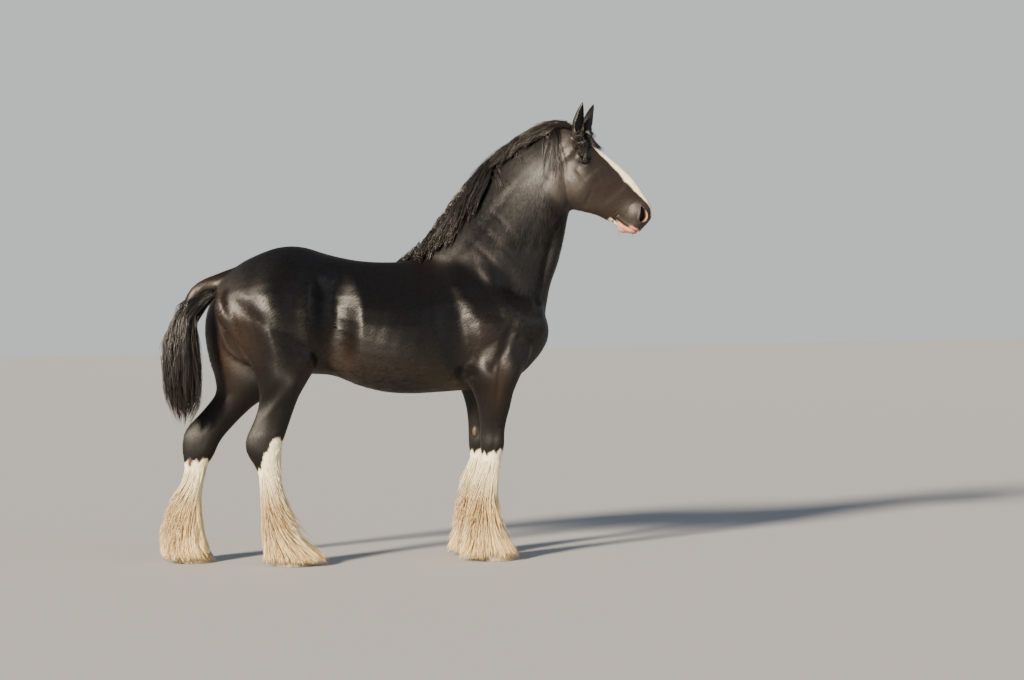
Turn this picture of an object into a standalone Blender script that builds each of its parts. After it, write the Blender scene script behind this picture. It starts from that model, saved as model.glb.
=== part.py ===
"""Shire stallion, standing, as a life-size still model. Metres, +Z up, +X to the head, -Y to its right.

The body is made straight, as lofts between named stations that are fused and smoothed, then the neck and
head are turned a little to the right, and the body is parted by thin cuts into the parts that a person names.
"""

import math
import random

import bmesh
import bpy
import numpy as np
from mathutils import Matrix, Vector
from mathutils.bvhtree import BVHTree

# Driving sizes
CUT_GAP = 0.0003
VOXEL = 0.013
SMOOTH_ROUNDS = 5
BODY_TRIANGLES = 3600
HEAD_DETAIL_TRIANGLES = 11000
HEAD_TURN_DEG = 17.0
HEAD_PITCH_DEG = 45.0
POLL = (0.955, 2.350)
EYEBALL_RADIUS = 0.021
EAR_SIDES = 12
BALL_SIDES = 12
HOOF_SIDES = 16
HOOF_TOP_Z = 0.088
FLOOR_CLEARANCE = 0.006

# Stations: front or top outline x, z; back or bottom outline x, z; mid y; half widths back, middle, front
TORSO = (
    (-1.040, 1.555, -1.035, 1.330, 0.0, 0.12, 0.140, 0.07),
    (-0.955, 1.630, -0.990, 1.200, 0.0, 0.20, 0.245, 0.13),
    (-0.850, 1.697, -0.880, 1.110, 0.0, 0.23, 0.305, 0.18),
    (-0.700, 1.755, -0.720, 1.060, 0.0, 0.24, 0.340, 0.20),
    (-0.560, 1.758, -0.560, 1.045, 0.0, 0.24, 0.340, 0.20),
    (-0.400, 1.708, -0.400, 1.032, 0.0, 0.24, 0.325, 0.18),
    (-0.250, 1.676, -0.250, 0.972, 0.0, 0.26, 0.340, 0.16),
    (-0.100, 1.666, -0.100, 0.934, 0.0, 0.27, 0.352, 0.15),
    (0.050, 1.678, 0.050, 0.924, 0.0, 0.27, 0.350, 0.13),
    (0.160, 1.722, 0.180, 0.928, 0.0, 0.25, 0.335, 0.10),
    (0.300, 1.760, 0.330, 0.936, 0.0, 0.22, 0.325, 0.11),
    (0.450, 1.700, 0.480, 0.950, 0.0, 0.19, 0.315, 0.15),
    (0.620, 1.600, 0.640, 1.010, 0.0, 0.17, 0.285, 0.17),
    (0.740, 1.480, 0.745, 1.110, 0.0, 0.13, 0.225, 0.15),
    (0.795, 1.360, 0.795, 1.190, 0.0, 0.08, 0.150, 0.09),
)
NECK = (
    (0.060, 1.690, 0.790, 1.200, 0.0, 0.20, 0.250, 0.07),
    (0.190, 1.830, 0.808, 1.380, 0.0, 0.17, 0.215, 0.07),
    (0.300, 1.985, 0.833, 1.520, 0.0, 0.14, 0.180, 0.06),
    (0.420, 2.130, 0.878, 1.650, 0.0, 0.12, 0.155, 0.055),
    (0.550, 2.250, 0.908, 1.770, 0.0, 0.11, 0.138, 0.05),
    (0.690, 2.345, 0.926, 1.860, 0.0, 0.10, 0.126, 0.048),
    (0.830, 2.405, 0.950, 1.950, 0.0, 0.085, 0.112, 0.052),
    (0.930, 2.420, 0.990, 2.040, 0.0, 0.07, 0.095, 0.06),
)
# Along the face from the poll: u down the face, v of the forehead line, v of the jaw line, half widths
HEAD = (
    (-0.050, 0.010, -0.160, 0.040, 0.055, 0.040),
    (-0.010, 0.048, -0.230, 0.055, 0.085, 0.060),
    (0.060, 0.058, -0.285, 0.060, 0.100, 0.070),
    (0.130, 0.060, -0.310, 0.060, 0.106, 0.075),
    (0.200, 0.066, -0.310, 0.058, 0.106, 0.068),
    (0.270, 0.073, -0.300, 0.052, 0.096, 0.058),
    (0.340, 0.077, -0.262, 0.046, 0.078, 0.050),
    (0.410, 0.077, -0.222, 0.040, 0.064, 0.044),
    (0.470, 0.069, -0.202, 0.038, 0.058, 0.042),
    (0.530, 0.055, -0.186, 0.042, 0.062, 0.044),
    (0.585, 0.042, -0.178, 0.046, 0.066, 0.048),
    (0.630, 0.014, -0.150, 0.044, 0.060, 0.042),
    (0.652, -0.020, -0.115, 0.026, 0.036, 0.024),
)
NEAR_SIDE, FAR_SIDE = -1.0, 1.0
FORELEG = (
    (0.700, 1.300, 0.330, 1.260, 0.195, 0.07, 0.100, 0.08),
    (0.690, 1.140, 0.320, 1.090, 0.195, 0.09, 0.110, 0.09),
    (0.625, 1.010, 0.338, 0.990, 0.185, 0.09, 0.108, 0.09),
    (0.592, 0.930, 0.366, 0.920, 0.178, 0.08, 0.096, 0.08),
    (0.573, 0.850, 0.386, 0.850, 0.172, 0.066, 0.082, 0.07),
    (0.552, 0.775, 0.395, 0.775, 0.168, 0.054, 0.068, 0.06),
    (0.540, 0.710, 0.398, 0.710, 0.166, 0.050, 0.062, 0.058),
    (0.537, 0.640, 0.398, 0.640, 0.165, 0.052, 0.068, 0.064),
    (0.524, 0.575, 0.404, 0.572, 0.165, 0.046, 0.060, 0.056),
    (0.506, 0.510, 0.410, 0.505, 0.165, 0.038, 0.046, 0.044),
    (0.498, 0.400, 0.410, 0.395, 0.165, 0.036, 0.043, 0.041),
    (0.498, 0.300, 0.404, 0.285, 0.165, 0.038, 0.045, 0.042),
    (0.508, 0.220, 0.392, 0.200, 0.165, 0.046, 0.056, 0.050),
    (0.526, 0.155, 0.412, 0.128, 0.165, 0.046, 0.052, 0.050),
    (0.552, 0.100, 0.408, 0.088, 0.165, 0.060, 0.078, 0.066),
    (0.574, 0.050, 0.404, 0.045, 0.165, 0.066, 0.086, 0.070),
)
FAR_FORE_SHIFT = -0.030
NEAR_HIND = (
    (-0.560, 1.480, -0.960, 1.560, 0.130, 0.04, 0.080, 0.05),
    (-0.500, 1.340, -1.030, 1.480, 0.165, 0.08, 0.128, 0.08),
    (-0.480, 1.220, -1.048, 1.390, 0.180, 0.10, 0.148, 0.09),
    (-0.490, 1.110, -0.995, 1.285, 0.180, 0.10, 0.145, 0.10),
    (-0.545, 1.010, -0.915, 1.170, 0.175, 0.085, 0.122, 0.095),
    (-0.592, 0.930, -0.845, 1.060, 0.172, 0.066, 0.100, 0.085),
    (-0.625, 0.850, -0.816, 0.945, 0.170, 0.050, 0.080, 0.072),
    (-0.655, 0.765, -0.838, 0.830, 0.170, 0.038, 0.062, 0.060),
    (-0.684, 0.680, -0.893, 0.700, 0.170, 0.034, 0.060, 0.060),
    (-0.700, 0.600, -0.888, 0.620, 0.170, 0.038, 0.060, 0.058),
    (-0.712, 0.520, -0.838, 0.530, 0.170, 0.038, 0.048, 0.046),
    (-0.708, 0.410, -0.806, 0.405, 0.170, 0.038, 0.043, 0.042),
    (-0.696, 0.300, -0.792, 0.290, 0.170, 0.038, 0.044, 0.042),
    (-0.668, 0.220, -0.786, 0.200, 0.170, 0.046, 0.056, 0.050),
    (-0.632, 0.155, -0.744, 0.128, 0.170, 0.046, 0.052, 0.050),
    (-0.585, 0.100, -0.732, 0.088, 0.170, 0.060, 0.078, 0.066),
    (-0.560, 0.050, -0.735, 0.045, 0.170, 0.066, 0.086, 0.070),
)
FAR_HIND = (
    (-0.580, 1.480, -0.970, 1.560, 0.130, 0.04, 0.080, 0.05),
    (-0.540, 1.350, -1.055, 1.480, 0.165, 0.08, 0.128, 0.08),
    (-0.530, 1.240, -1.095, 1.390, 0.180, 0.10, 0.148, 0.09),
    (-0.575, 1.120, -1.105, 1.270, 0.180, 0.10, 0.145, 0.10),
    (-0.655, 1.010, -1.085, 1.140, 0.175, 0.085, 0.122, 0.095),
    (-0.750, 0.925, -1.056, 1.035, 0.172, 0.066, 0.100, 0.085),
    (-0.850, 0.855, -1.052, 0.945, 0.170, 0.050, 0.080, 0.072),
    (-0.945, 0.765, -1.120, 0.855, 0.170, 0.038, 0.062, 0.060),
    (-1.020, 0.680, -1.220, 0.745, 0.170, 0.034, 0.060, 0.060),
    (-1.062, 0.595, -1.242, 0.650, 0.170, 0.038, 0.060, 0.058),
    (-1.110, 0.510, -1.232, 0.535, 0.170, 0.038, 0.048, 0.046),
    (-1.130, 0.410, -1.228, 0.415, 0.170, 0.038, 0.043, 0.042),
    (-1.134, 0.300, -1.232, 0.300, 0.170, 0.038, 0.044, 0.042),
    (-1.126, 0.220, -1.246, 0.205, 0.170, 0.046, 0.056, 0.050),
    (-1.118, 0.155, -1.234, 0.128, 0.170, 0.046, 0.052, 0.050),
    (-1.100, 0.100, -1.250, 0.088, 0.170, 0.060, 0.078, 0.066),
    (-1.084, 0.050, -1.258, 0.045, 0.170, 0.066, 0.086, 0.070),
)
DOCK = (
    (-0.900, 1.660, -0.930, 1.500, 0.0, 0.050, 0.070, 0.050),
    (-1.010, 1.622, -1.030, 1.500, 0.0, 0.040, 0.055, 0.040),
    (-1.100, 1.590, -1.070, 1.500, 0.0, 0.032, 0.045, 0.032),
    (-1.180, 1.530, -1.125, 1.470, 0.0, 0.028, 0.038, 0.028),
    (-1.225, 1.440, -1.160, 1.410, 0.0, 0.024, 0.034, 0.024),
    (-1.245, 1.330, -1.185, 1.310, 0.0, 0.020, 0.030, 0.020),
    (-1.250, 1.220, -1.200, 1.210, 0.0, 0.014, 0.022, 0.014),
)
# Toe x, heel x and leg of each hoof
HOOVES = {
    "hoof_fore_right": (0.602, 0.387, -0.165),
    "hoof_fore_left": (0.570, 0.355, 0.165),
    "hoof_hind_right": (-0.525, -0.745, -0.170),
    "hoof_hind_left": (-1.056, -1.276, 0.170),
}

# Muscles and hollows: centre, radii, turn about Y in degrees, height, leg side (0 both, -1 right, 1 left)
MUSCLES = (
    ((0.690, 0.225, 1.330), (0.110, 0.14, 0.120), 0, 0.010, 0),
    ((0.520, 0.280, 1.480), (0.070, 0.14, 0.230), -28, 0.012, 0),
    ((0.380, 0.290, 1.500), (0.045, 0.14, 0.200), -28, -0.010, 0),
    ((0.430, 0.290, 1.190), (0.110, 0.12, 0.090), 30, 0.018, 0),
    ((0.280, 0.330, 1.200), (0.045, 0.14, 0.200), -10, -0.012, 0),
    ((0.325, 0.240, 1.040), (0.050, 0.12, 0.030), 10, -0.014, 0),
    ((0.730, 0.110, 1.210), (0.100, 0.09, 0.110), 0, 0.010, 0),
    ((0.810, 0.000, 1.260), (0.080, 0.05, 0.140), 0, -0.014, 0),
    ((0.780, 0.150, 1.560), (0.028, 0.10, 0.260), 18, -0.010, 0),
    ((0.620, 0.170, 1.780), (0.070, 0.10, 0.260), 30, 0.010, 0),
    ((0.140, 0.180, 1.620), (0.100, 0.14, 0.070), 0, -0.010, 0),
    ((-0.400, 0.310, 1.430), (0.080, 0.14, 0.130), 0, -0.020, 0),
    ((-0.400, 0.250, 1.610), (0.055, 0.10, 0.055), 0, 0.018, 0),
    ((-0.650, 0.240, 1.620), (0.140, 0.14, 0.110), 0, 0.014, 0),
    ((-0.900, 0.300, 1.400), (0.050, 0.14, 0.200), -12, -0.008, 0),
    ((-0.520, 0.290, 1.110), (0.070, 0.12, 0.075), 0, 0.014, -1),
    ((-0.570, 0.290, 1.110), (0.070, 0.12, 0.075), 0, 0.014, 1),
    ((-0.730, 0.230, 0.950), (0.035, 0.10, 0.150), 40, -0.008, -1),
    ((-1.050, 0.000, 1.360), (0.090, 0.04, 0.200), 0, -0.030, 0),
)
# The head's own, as u down the face, v out of the forehead and w from the middle, radii along u, v, w, height
FACE_FORMS = (
    ((0.150, 0.020, 0.085), (0.045, 0.035, 0.05), 0.014),
    ((0.085, 0.020, 0.085), (0.035, 0.030, 0.05), -0.008),
    ((0.163, -0.036, 0.105), (0.040, 0.026, 0.05), -0.006),
    ((0.190, -0.205, 0.100), (0.105, 0.095, 0.06), 0.012),
    ((0.255, -0.060, 0.095), (0.085, 0.016, 0.05), 0.008),
    ((0.370, -0.135, 0.070), (0.070, 0.050, 0.05), -0.009),
    ((0.430, -0.010, 0.055), (0.080, 0.030, 0.04), -0.005),
    ((0.588, -0.030, 0.060), (0.045, 0.045, 0.05), 0.010),
    ((0.620, -0.125, 0.040), (0.040, 0.030, 0.05), 0.006),
    ((0.575, -0.190, 0.020), (0.040, 0.030, 0.04), 0.010),
    ((0.240, -0.320, 0.000), (0.120, 0.030, 0.035), -0.016),
)
EYE_PLACE = (0.163, -0.036, 0.087)
EAR_BASE = (1.022, 0.052, 2.345)
EAR_TIP = (1.058, 0.074, 2.534)
NOSTRIL = ((0.588, -0.042, 0.070), (0.028, 0.011, 0.030), -42)
# The line of the mouth, u and v, from the corner to the front
MOUTH_LINE = ((0.515, -0.150), (0.560, -0.146), (0.605, -0.134), (0.660, -0.115))
MOUTH_OPEN = 0.0035


def clear_scene():
    for old in list(bpy.data.objects):
        bpy.data.objects.remove(old, do_unlink=True)


def make_material(name, color, roughness):
    made = bpy.data.materials.new(name)
    made.use_nodes = True
    shader = made.node_tree.nodes["Principled BSDF"]
    shader.inputs["Base Color"].default_value = (*color, 1.0)
    shader.inputs["Roughness"].default_value = roughness
    return made


def add_mesh(name, points, faces, home):
    mesh = bpy.data.meshes.new(name)
    mesh.from_pydata([tuple(p) for p in points], [], [tuple(f) for f in faces])
    mesh.update()
    made = bpy.data.objects.new(name, mesh)
    home.objects.link(made)
    return made


def smooth_rows(rows, steps):
    """Catmull-Rom rows between the stations, so that a few of them make a smooth loft."""
    rows = np.array(rows, float)
    padded = np.vstack([2 * rows[0] - rows[1], rows, 2 * rows[-1] - rows[-2]])
    found = []
    for i in range(len(rows) - 1):
        a, b, c, d = padded[i : i + 4]
        for k in range(steps):
            t = k / steps
            square, cube = t * t, t**3
            found.append(
                0.5 * (2 * b + (c - a) * t + (2 * a - 5 * b + 4 * c - d) * square + (3 * b - a - 3 * c + d) * cube)
            )
    found.append(rows[-1])
    return np.array(found)


def ring(row, sides, power):
    """One closed section: an egg between two outline points whose half width changes along its height."""
    ax, az, bx, bz, y, back, middle, front = row
    angle = np.arange(sides) * 2 * math.pi / sides
    c, s = np.cos(angle), np.sin(angle)
    h = np.sign(s) * np.abs(s) ** (2 / power)
    across = np.sign(c) * np.abs(c) ** (2 / power)
    width = middle + (front - back) / 2 * h + ((front + back) / 2 - middle) * h * h
    x = (ax + bx) / 2 + (ax - bx) / 2 * h
    z = (az + bz) / 2 + (az - bz) / 2 * h
    return np.stack([x, y + width * across, z], axis=1)


def loft(name, rings, home):
    """A closed tube through the rings, with a fan at each end, facing out."""
    count, sides = len(rings), len(rings[0])
    points = [p for one in rings for p in one]
    first, last = len(points), len(points) + 1
    points += [np.mean(rings[0], axis=0), np.mean(rings[-1], axis=0)]
    faces = []
    for i in range(count - 1):
        for k in range(sides):
            a, b = i * sides + k, i * sides + (k + 1) % sides
            faces.append((a, b, b + sides, a + sides))
    for k in range(sides):
        faces.append((first, (k + 1) % sides, k))
        faces.append((last, (count - 1) * sides + k, (count - 1) * sides + (k + 1) % sides))
    made = add_mesh(name, points, faces, home)
    face_outward(made)
    return made


def face_outward(made):
    shape = bmesh.new()
    shape.from_mesh(made.data)
    bmesh.ops.recalc_face_normals(shape, faces=shape.faces)
    shape.to_mesh(made.data)
    shape.free()


def station_loft(name, rows, home, sides=24, steps=4, power=2.4, side=0.0, shift=0.0):
    """A loft through stations; side mirrors a leg to the left or right, shift moves it along x."""
    rings = []
    for row in smooth_rows(rows, steps):
        row = row.copy()
        row[[0, 2]] += shift
        row[4] *= side
        rings.append(ring(row, sides, power))
    return loft(name, rings, home)


def head_point(u, v, w):
    """A point of the straight head: u down the face from the poll, v out of the forehead, w to the left."""
    pitch = math.radians(HEAD_PITCH_DEG)
    x = POLL[0] + u * math.cos(pitch) + v * math.sin(pitch)
    z = POLL[1] - u * math.sin(pitch) + v * math.cos(pitch)
    return np.array([x, w, z])


def head_loft(home):
    rows = []
    for u, top, bottom, low, middle, high in HEAD:
        a, b = head_point(u, top, 0), head_point(u, bottom, 0)
        rows.append((a[0], a[2], b[0], b[2], 0.0, low, middle, high))
    return station_loft("head_form", rows, home, power=2.5)


def ellipsoid(name, centre, radii, home, turn_deg=0.0):
    """A ball stretched to three radii and turned about Y."""
    shape = bmesh.new()
    bmesh.ops.create_uvsphere(shape, u_segments=BALL_SIDES, v_segments=BALL_SIDES // 2 + 1, radius=1.0)
    turn = Matrix.Rotation(math.radians(turn_deg), 4, "Y")
    shape.transform(Matrix.Translation(centre) @ turn @ Matrix.Diagonal((*radii, 1.0)))
    mesh = bpy.data.meshes.new(name)
    shape.to_mesh(mesh)
    shape.free()
    made = bpy.data.objects.new(name, mesh)
    home.objects.link(made)
    return made


def turned(points):
    """Turns the neck and head to the right, bending smoothly from the neck's base to behind the jaw."""
    points = np.array(points, float)
    share = np.linspace(0, 1, 41)
    yaw = math.radians(HEAD_TURN_DEG) * share * share * (3 - 2 * share)
    base_x, reach = 0.50, 0.42
    step = reach / 40
    mid_x = base_x + np.concatenate([[0], np.cumsum(np.cos(yaw[:-1]) * step)])
    mid_y = -np.concatenate([[0], np.cumsum(np.sin(yaw[:-1]) * step)])
    along = np.clip((0.6 * points[:, 0] + 0.8 * points[:, 2] - 1.55) / 0.65, 0, 1)
    angle = np.interp(along, share, yaw)
    x = points[:, 0] - (base_x + reach * along)
    y = points[:, 1]
    found = points.copy()
    found[:, 0] = np.interp(along, share, mid_x) + x * np.cos(angle) + y * np.sin(angle)
    found[:, 1] = np.interp(along, share, mid_y) - x * np.sin(angle) + y * np.cos(angle)
    return found


def points_of(made):
    found = np.empty(len(made.data.vertices) * 3)
    made.data.vertices.foreach_get("co", found)
    return found.reshape(-1, 3)


def set_points(made, points):
    made.data.vertices.foreach_set("co", np.asarray(points, float).ravel())
    made.data.update()


def apply_modifiers(made):
    graph = bpy.context.evaluated_depsgraph_get()
    mesh = bpy.data.meshes.new_from_object(made.evaluated_get(graph))
    made.modifiers.clear()
    made.data = mesh


def join(name, pieces, home):
    """One object that holds the pieces' meshes side by side."""
    shape = bmesh.new()
    for piece in pieces:
        shape.from_mesh(piece.data)
        bpy.data.objects.remove(piece, do_unlink=True)
    mesh = bpy.data.meshes.new(name)
    shape.to_mesh(mesh)
    shape.free()
    made = bpy.data.objects.new(name, mesh)
    home.objects.link(made)
    return made


def body_form(home):
    """The whole body without ears, eyes and hooves, fused and smoothed, still straight."""
    pieces = [
        station_loft("torso_form", TORSO, home, side=1.0, power=2.3, sides=32),
        station_loft("neck_form", NECK, home, side=1.0, power=2.3, sides=32),
        head_loft(home),
        station_loft("fore_near", FORELEG, home, side=NEAR_SIDE),
        station_loft("fore_far", FORELEG, home, side=FAR_SIDE, shift=FAR_FORE_SHIFT),
        station_loft("hind_near", NEAR_HIND, home, side=NEAR_SIDE),
        station_loft("hind_far", FAR_HIND, home, side=FAR_SIDE),
        station_loft("dock_form", DOCK, home, side=1.0),
    ]
    body = join("body", pieces, home)
    remesh = body.modifiers.new("fuse", "REMESH")
    remesh.mode = "VOXEL"
    remesh.voxel_size = VOXEL
    smooth = body.modifiers.new("smooth", "SMOOTH")
    smooth.factor = 0.5
    smooth.iterations = SMOOTH_ROUNDS
    apply_modifiers(body)
    return body


def press(points, normals, centre, radii, turn_deg, height):
    """Raises or sinks the surface inside an ellipsoid, fading to nothing at its rim."""
    turn = math.radians(turn_deg)
    d = points - np.array(centre)
    x = d[:, 0] * math.cos(turn) - d[:, 2] * math.sin(turn)
    z = d[:, 0] * math.sin(turn) + d[:, 2] * math.cos(turn)
    reach = (x / radii[0]) ** 2 + (d[:, 1] / radii[1]) ** 2 + (z / radii[2]) ** 2
    return normals * (height * np.clip(1 - reach / 2.2, 0, 1) ** 2)[:, None]


def sculpt(body):
    points = points_of(body)
    normals = np.empty(len(points) * 3)
    body.data.vertex_normals.foreach_get("vector", normals)
    normals = normals.reshape(-1, 3)
    moved = np.zeros_like(points)
    for centre, radii, turn_deg, height, leg_side in MUSCLES:
        for side in (NEAR_SIDE, FAR_SIDE) if centre[1] else (FAR_SIDE,):
            if leg_side in (0, side):
                place = (centre[0], centre[1] * side, centre[2])
                moved += press(points, normals, place, radii, turn_deg, height)
    for (u, v, w), (long, deep, wide), height in FACE_FORMS:
        for side in (NEAR_SIDE, FAR_SIDE) if w else (FAR_SIDE,):
            place = head_point(u, v, w * side)
            moved += press(points, normals, place, (long, wide, deep), -HEAD_PITCH_DEG, height)
    set_points(body, points + moved)


def ear(side, home):
    """A cupped ear: a tapered leaf, widest a third of the way up, hollowed from the front and outer side."""
    base, tip = np.array(EAR_BASE), np.array(EAR_TIP)
    base[1] *= side
    tip[1] *= side
    # Share of the length, half depth front to back, half width, cup's half depth and half width
    shape = (
        (0.00, 0.026, 0.022, 0.010, 0.008),
        (0.16, 0.028, 0.025, 0.021, 0.018),
        (0.36, 0.029, 0.027, 0.024, 0.022),
        (0.58, 0.025, 0.023, 0.020, 0.018),
        (0.80, 0.015, 0.014, 0.010, 0.009),
        (0.94, 0.006, 0.006, 0.002, 0.002),
        (1.00, 0.002, 0.002, 0.001, 0.001),
    )
    opening = np.array([0.75, 0.66 * side, 0.0])
    across = np.array([-opening[1], opening[0], 0.0])
    angle = np.arange(EAR_SIDES) * 2 * math.pi / EAR_SIDES
    outer, cup = [], []
    for share, depth, width, cup_depth, cup_width in shape:
        middle = base + (tip - base) * share
        middle = middle - opening * 0.012 * math.sin(math.pi * share)
        for rings, deep, wide, ahead in ((outer, depth, width, 0.0), (cup, cup_depth, cup_width, 0.012)):
            centre = middle + opening * ahead
            rings.append(
                centre
                + np.outer(np.cos(angle) * deep, opening)
                + np.outer(np.sin(angle) * wide, across)
            )
    name = "ear_right" if side == NEAR_SIDE else "ear_left"
    leaf = loft(name, outer, home)
    hollow = loft(name + "_cup", cup[1:], home)
    set_points(leaf, turned(points_of(leaf)))
    set_points(hollow, turned(points_of(hollow)))
    boolean(leaf, [hollow], "DIFFERENCE")
    return leaf


def boolean(made, others, operation, solver="EXACT"):
    """Joins or cuts with a group of closed meshes, which are then removed, and keeps the largest body."""
    group = bpy.data.collections.new(made.name + "_tools")
    bpy.context.scene.collection.children.link(group)
    for other in others:
        for owner in list(other.users_collection):
            owner.objects.unlink(other)
        group.objects.link(other)
    tool = made.modifiers.new("tool", "BOOLEAN")
    tool.operation = operation
    tool.operand_type = "COLLECTION"
    tool.collection = group
    tool.solver = solver
    apply_modifiers(made)
    for other in list(group.objects):
        bpy.data.objects.remove(other, do_unlink=True)
    bpy.data.collections.remove(group)


def loose_parts(made):
    """The separate closed surfaces of a mesh, as lists of vertex indices."""
    mesh = made.data
    ends = np.empty(len(mesh.edges) * 2, int)
    mesh.edges.foreach_get("vertices", ends)
    ends = ends.reshape(-1, 2)
    label = np.arange(len(mesh.vertices))
    while True:
        low = np.minimum(label[ends[:, 0]], label[ends[:, 1]])
        before = label.copy()
        np.minimum.at(label, ends[:, 0], low)
        np.minimum.at(label, ends[:, 1], low)
        label = label[label]
        if (label == before).all():
            return [np.nonzero(label == one)[0] for one in np.unique(label)]


def keep_only(made, keep):
    """Deletes every vertex that isn't in keep."""
    shape = bmesh.new()
    shape.from_mesh(made.data)
    shape.verts.ensure_lookup_table()
    kept = set(int(k) for k in keep)
    bmesh.ops.delete(shape, geom=[v for v in shape.verts if v.index not in kept], context="VERTS")
    shape.to_mesh(made.data)
    shape.free()


def keep_largest(made):
    parts = loose_parts(made)
    points = points_of(made)
    keep_only(made, max(parts, key=lambda one: np.prod(np.ptp(points[one], axis=0))))


def ribbon(points, low_y, high_y, home, yaw_deg=0.0, mid=(0.0, 0.0)):
    """A cutter as thin as the gap: a line in the XZ plane drawn out along Y, turned about a vertical axis."""
    line = np.array(points, float)
    along = np.gradient(line, axis=0)
    along /= np.linalg.norm(along, axis=1)[:, None]
    off = np.stack([-along[:, 1], along[:, 0]], axis=1) * CUT_GAP / 2
    yaw = math.radians(yaw_deg)
    rings = []
    for y in (low_y, high_y):
        loop = np.vstack([line + off, (line - off)[::-1]])
        x = mid[0] + (loop[:, 0] - mid[0]) * math.cos(yaw) + (y - mid[1]) * math.sin(yaw)
        across = mid[1] - (loop[:, 0] - mid[0]) * math.sin(yaw) + (y - mid[1]) * math.cos(yaw)
        rings.append(np.stack([x, across, loop[:, 1]], axis=1))
    count = len(rings[0])
    faces = [tuple(range(count)), tuple(range(2 * count - 1, count - 1, -1))]
    for k in range(count):
        following = (k + 1) % count
        faces.append((k, k + count, following + count, following))
    made = add_mesh("cut", np.vstack(rings), faces, home)
    face_outward(made)
    return made


def side_slab(outer, inner, x_low, x_high, back_rise, home):
    """A cutter as thin as the gap across a leg: from an outer to an inner y, z point, drawn out back along X."""
    (y0, z0), (y1, z1) = outer, inner
    length = math.hypot(y1 - y0, z1 - z0)
    off_y, off_z = -(z1 - z0) / length * CUT_GAP / 2, (y1 - y0) / length * CUT_GAP / 2
    loop = ((y0 + off_y, z0 + off_z), (y1 + off_y, z1 + off_z), (y1 - off_y, z1 - off_z), (y0 - off_y, z0 - off_z))
    points = [(x, y, z + rise) for x, rise in ((x_low, back_rise), (x_high, 0.0)) for y, z in loop]
    faces = [(0, 1, 2, 3), (7, 6, 5, 4), (0, 4, 5, 1), (1, 5, 6, 2), (2, 6, 7, 3), (3, 7, 4, 0)]
    made = add_mesh("cut", points, faces, home)
    face_outward(made)
    return made


def thin(made, triangles):
    """Fewer triangles all over, where a piece has more."""
    fewer = made.modifiers.new("fewer", "DECIMATE")
    fewer.ratio = min(1.0, triangles / sum(len(face.vertices) - 2 for face in made.data.polygons))
    apply_modifiers(made)


def horn_hoof(name, home):
    """A hoof of horn: round in front, sloping out to a flat sole on the floor."""
    toe, heel, y = HOOVES[name]
    # Height, how far the toe and heel stand back, half width
    shape = (
        (0.0, 0.000, 0.004, 0.104),
        (0.012, 0.007, 0.003, 0.103),
        (HOOF_TOP_Z - 0.014, 0.042, 0.010, 0.086),
        (HOOF_TOP_Z, 0.050, 0.016, 0.078),
    )
    rings = []
    for z, toe_back, heel_back, half in shape:
        row = (toe - toe_back, z, heel + heel_back, z, y, half * 0.72, half, half * 0.62)
        rings.append(ring(row, HOOF_SIDES, 2.2))
    return loft(name, rings, home)


def face_tube(path, radii, home, flat=0.6):
    """A soft ridge along points of the straight head, thick as its radii, sunk in the skin."""
    rings = []
    path = np.array(path, float)
    along = np.gradient(path, axis=0)
    for point, way, radius in zip(path, along, radii):
        out = np.array([0.0, 1.0 if point[1] > 0 else -1.0, 0.0])
        side = np.cross(way, out)
        side /= np.linalg.norm(side)
        angle = np.arange(6) * math.pi / 3
        rings.append(point + np.outer(np.cos(angle) * radius * flat, out) + np.outer(np.sin(angle) * radius, side))
    return loft("ridge", rings, home)


def lids(side, home):
    """The upper and lower lid: two arched ridges that meet at the corners of the eye."""
    u, v, w = EYE_PLACE
    made = []
    for rise, thick, out in ((0.0125, 0.0075, 0.0205), (-0.0105, 0.0060, 0.0190)):
        path, radii = [], []
        for share in np.linspace(-1, 1, 9):
            arch = 1 - share * share
            path.append(head_point(u + 0.026 * share, v + rise * arch, (w + 0.006 + (out - 0.006) * (0.25 + 0.75 * arch)) * side))
            radii.append(thick * (0.45 + 0.55 * arch))
        made.append(face_tube(path, radii, home))
    return made


def mouth_cutters(home):
    """A thin wedge on each side along the line of the mouth."""
    made = []
    for side in (NEAR_SIDE, FAR_SIDE):
        upper, lower, inner = [], [], []
        for u, v in MOUTH_LINE:
            upper.append(head_point(u, v + MOUTH_OPEN / 2, 0.12 * side))
            lower.append(head_point(u, v - MOUTH_OPEN / 2, 0.12 * side))
            inner.append(head_point(u, v, 0.030 * side))
        count = len(upper)
        points = upper + lower + inner
        faces = [(0, count, 2 * count), (count - 1, 3 * count - 1, 2 * count - 1)]
        for k in range(count - 1):
            faces += [
                (k, k + 1, k + 1 + count, k + count),
                (k + count, k + 1 + count, k + 1 + 2 * count, k + 2 * count),
                (k + 2 * count, k + 1 + 2 * count, k + 1, k),
            ]
        wedge = add_mesh("mouth_cut", points, faces, home)
        face_outward(wedge)
        made.append(wedge)
    return made


def nostril_cutters(home):
    made = []
    (u, v, w), (long, deep, wide), turn_deg = NOSTRIL
    for side in (NEAR_SIDE, FAR_SIDE):
        made.append(ellipsoid("nostril_cut", head_point(u, v, w * side), (long, wide, deep), home, HEAD_PITCH_DEG + turn_deg))
    return made


LEGS = {
    "fore_right": (FORELEG, NEAR_SIDE, 0.0),
    "fore_left": (FORELEG, FAR_SIDE, FAR_FORE_SHIFT),
    "hind_right": (NEAR_HIND, NEAR_SIDE, 0.0),
    "hind_left": (FAR_HIND, FAR_SIDE, 0.0),
}
# The cut below each knee and hock: its front and back end, x and z
LEG_CUTS = {
    "fore_right": ((0.66, 0.575), (0.28, 0.565)),
    "fore_left": ((0.63, 0.575), (0.25, 0.565)),
    "hind_right": ((-0.60, 0.555), (-0.98, 0.605)),
    "hind_left": ((-0.96, 0.545), (-1.34, 0.610)),
}
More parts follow.
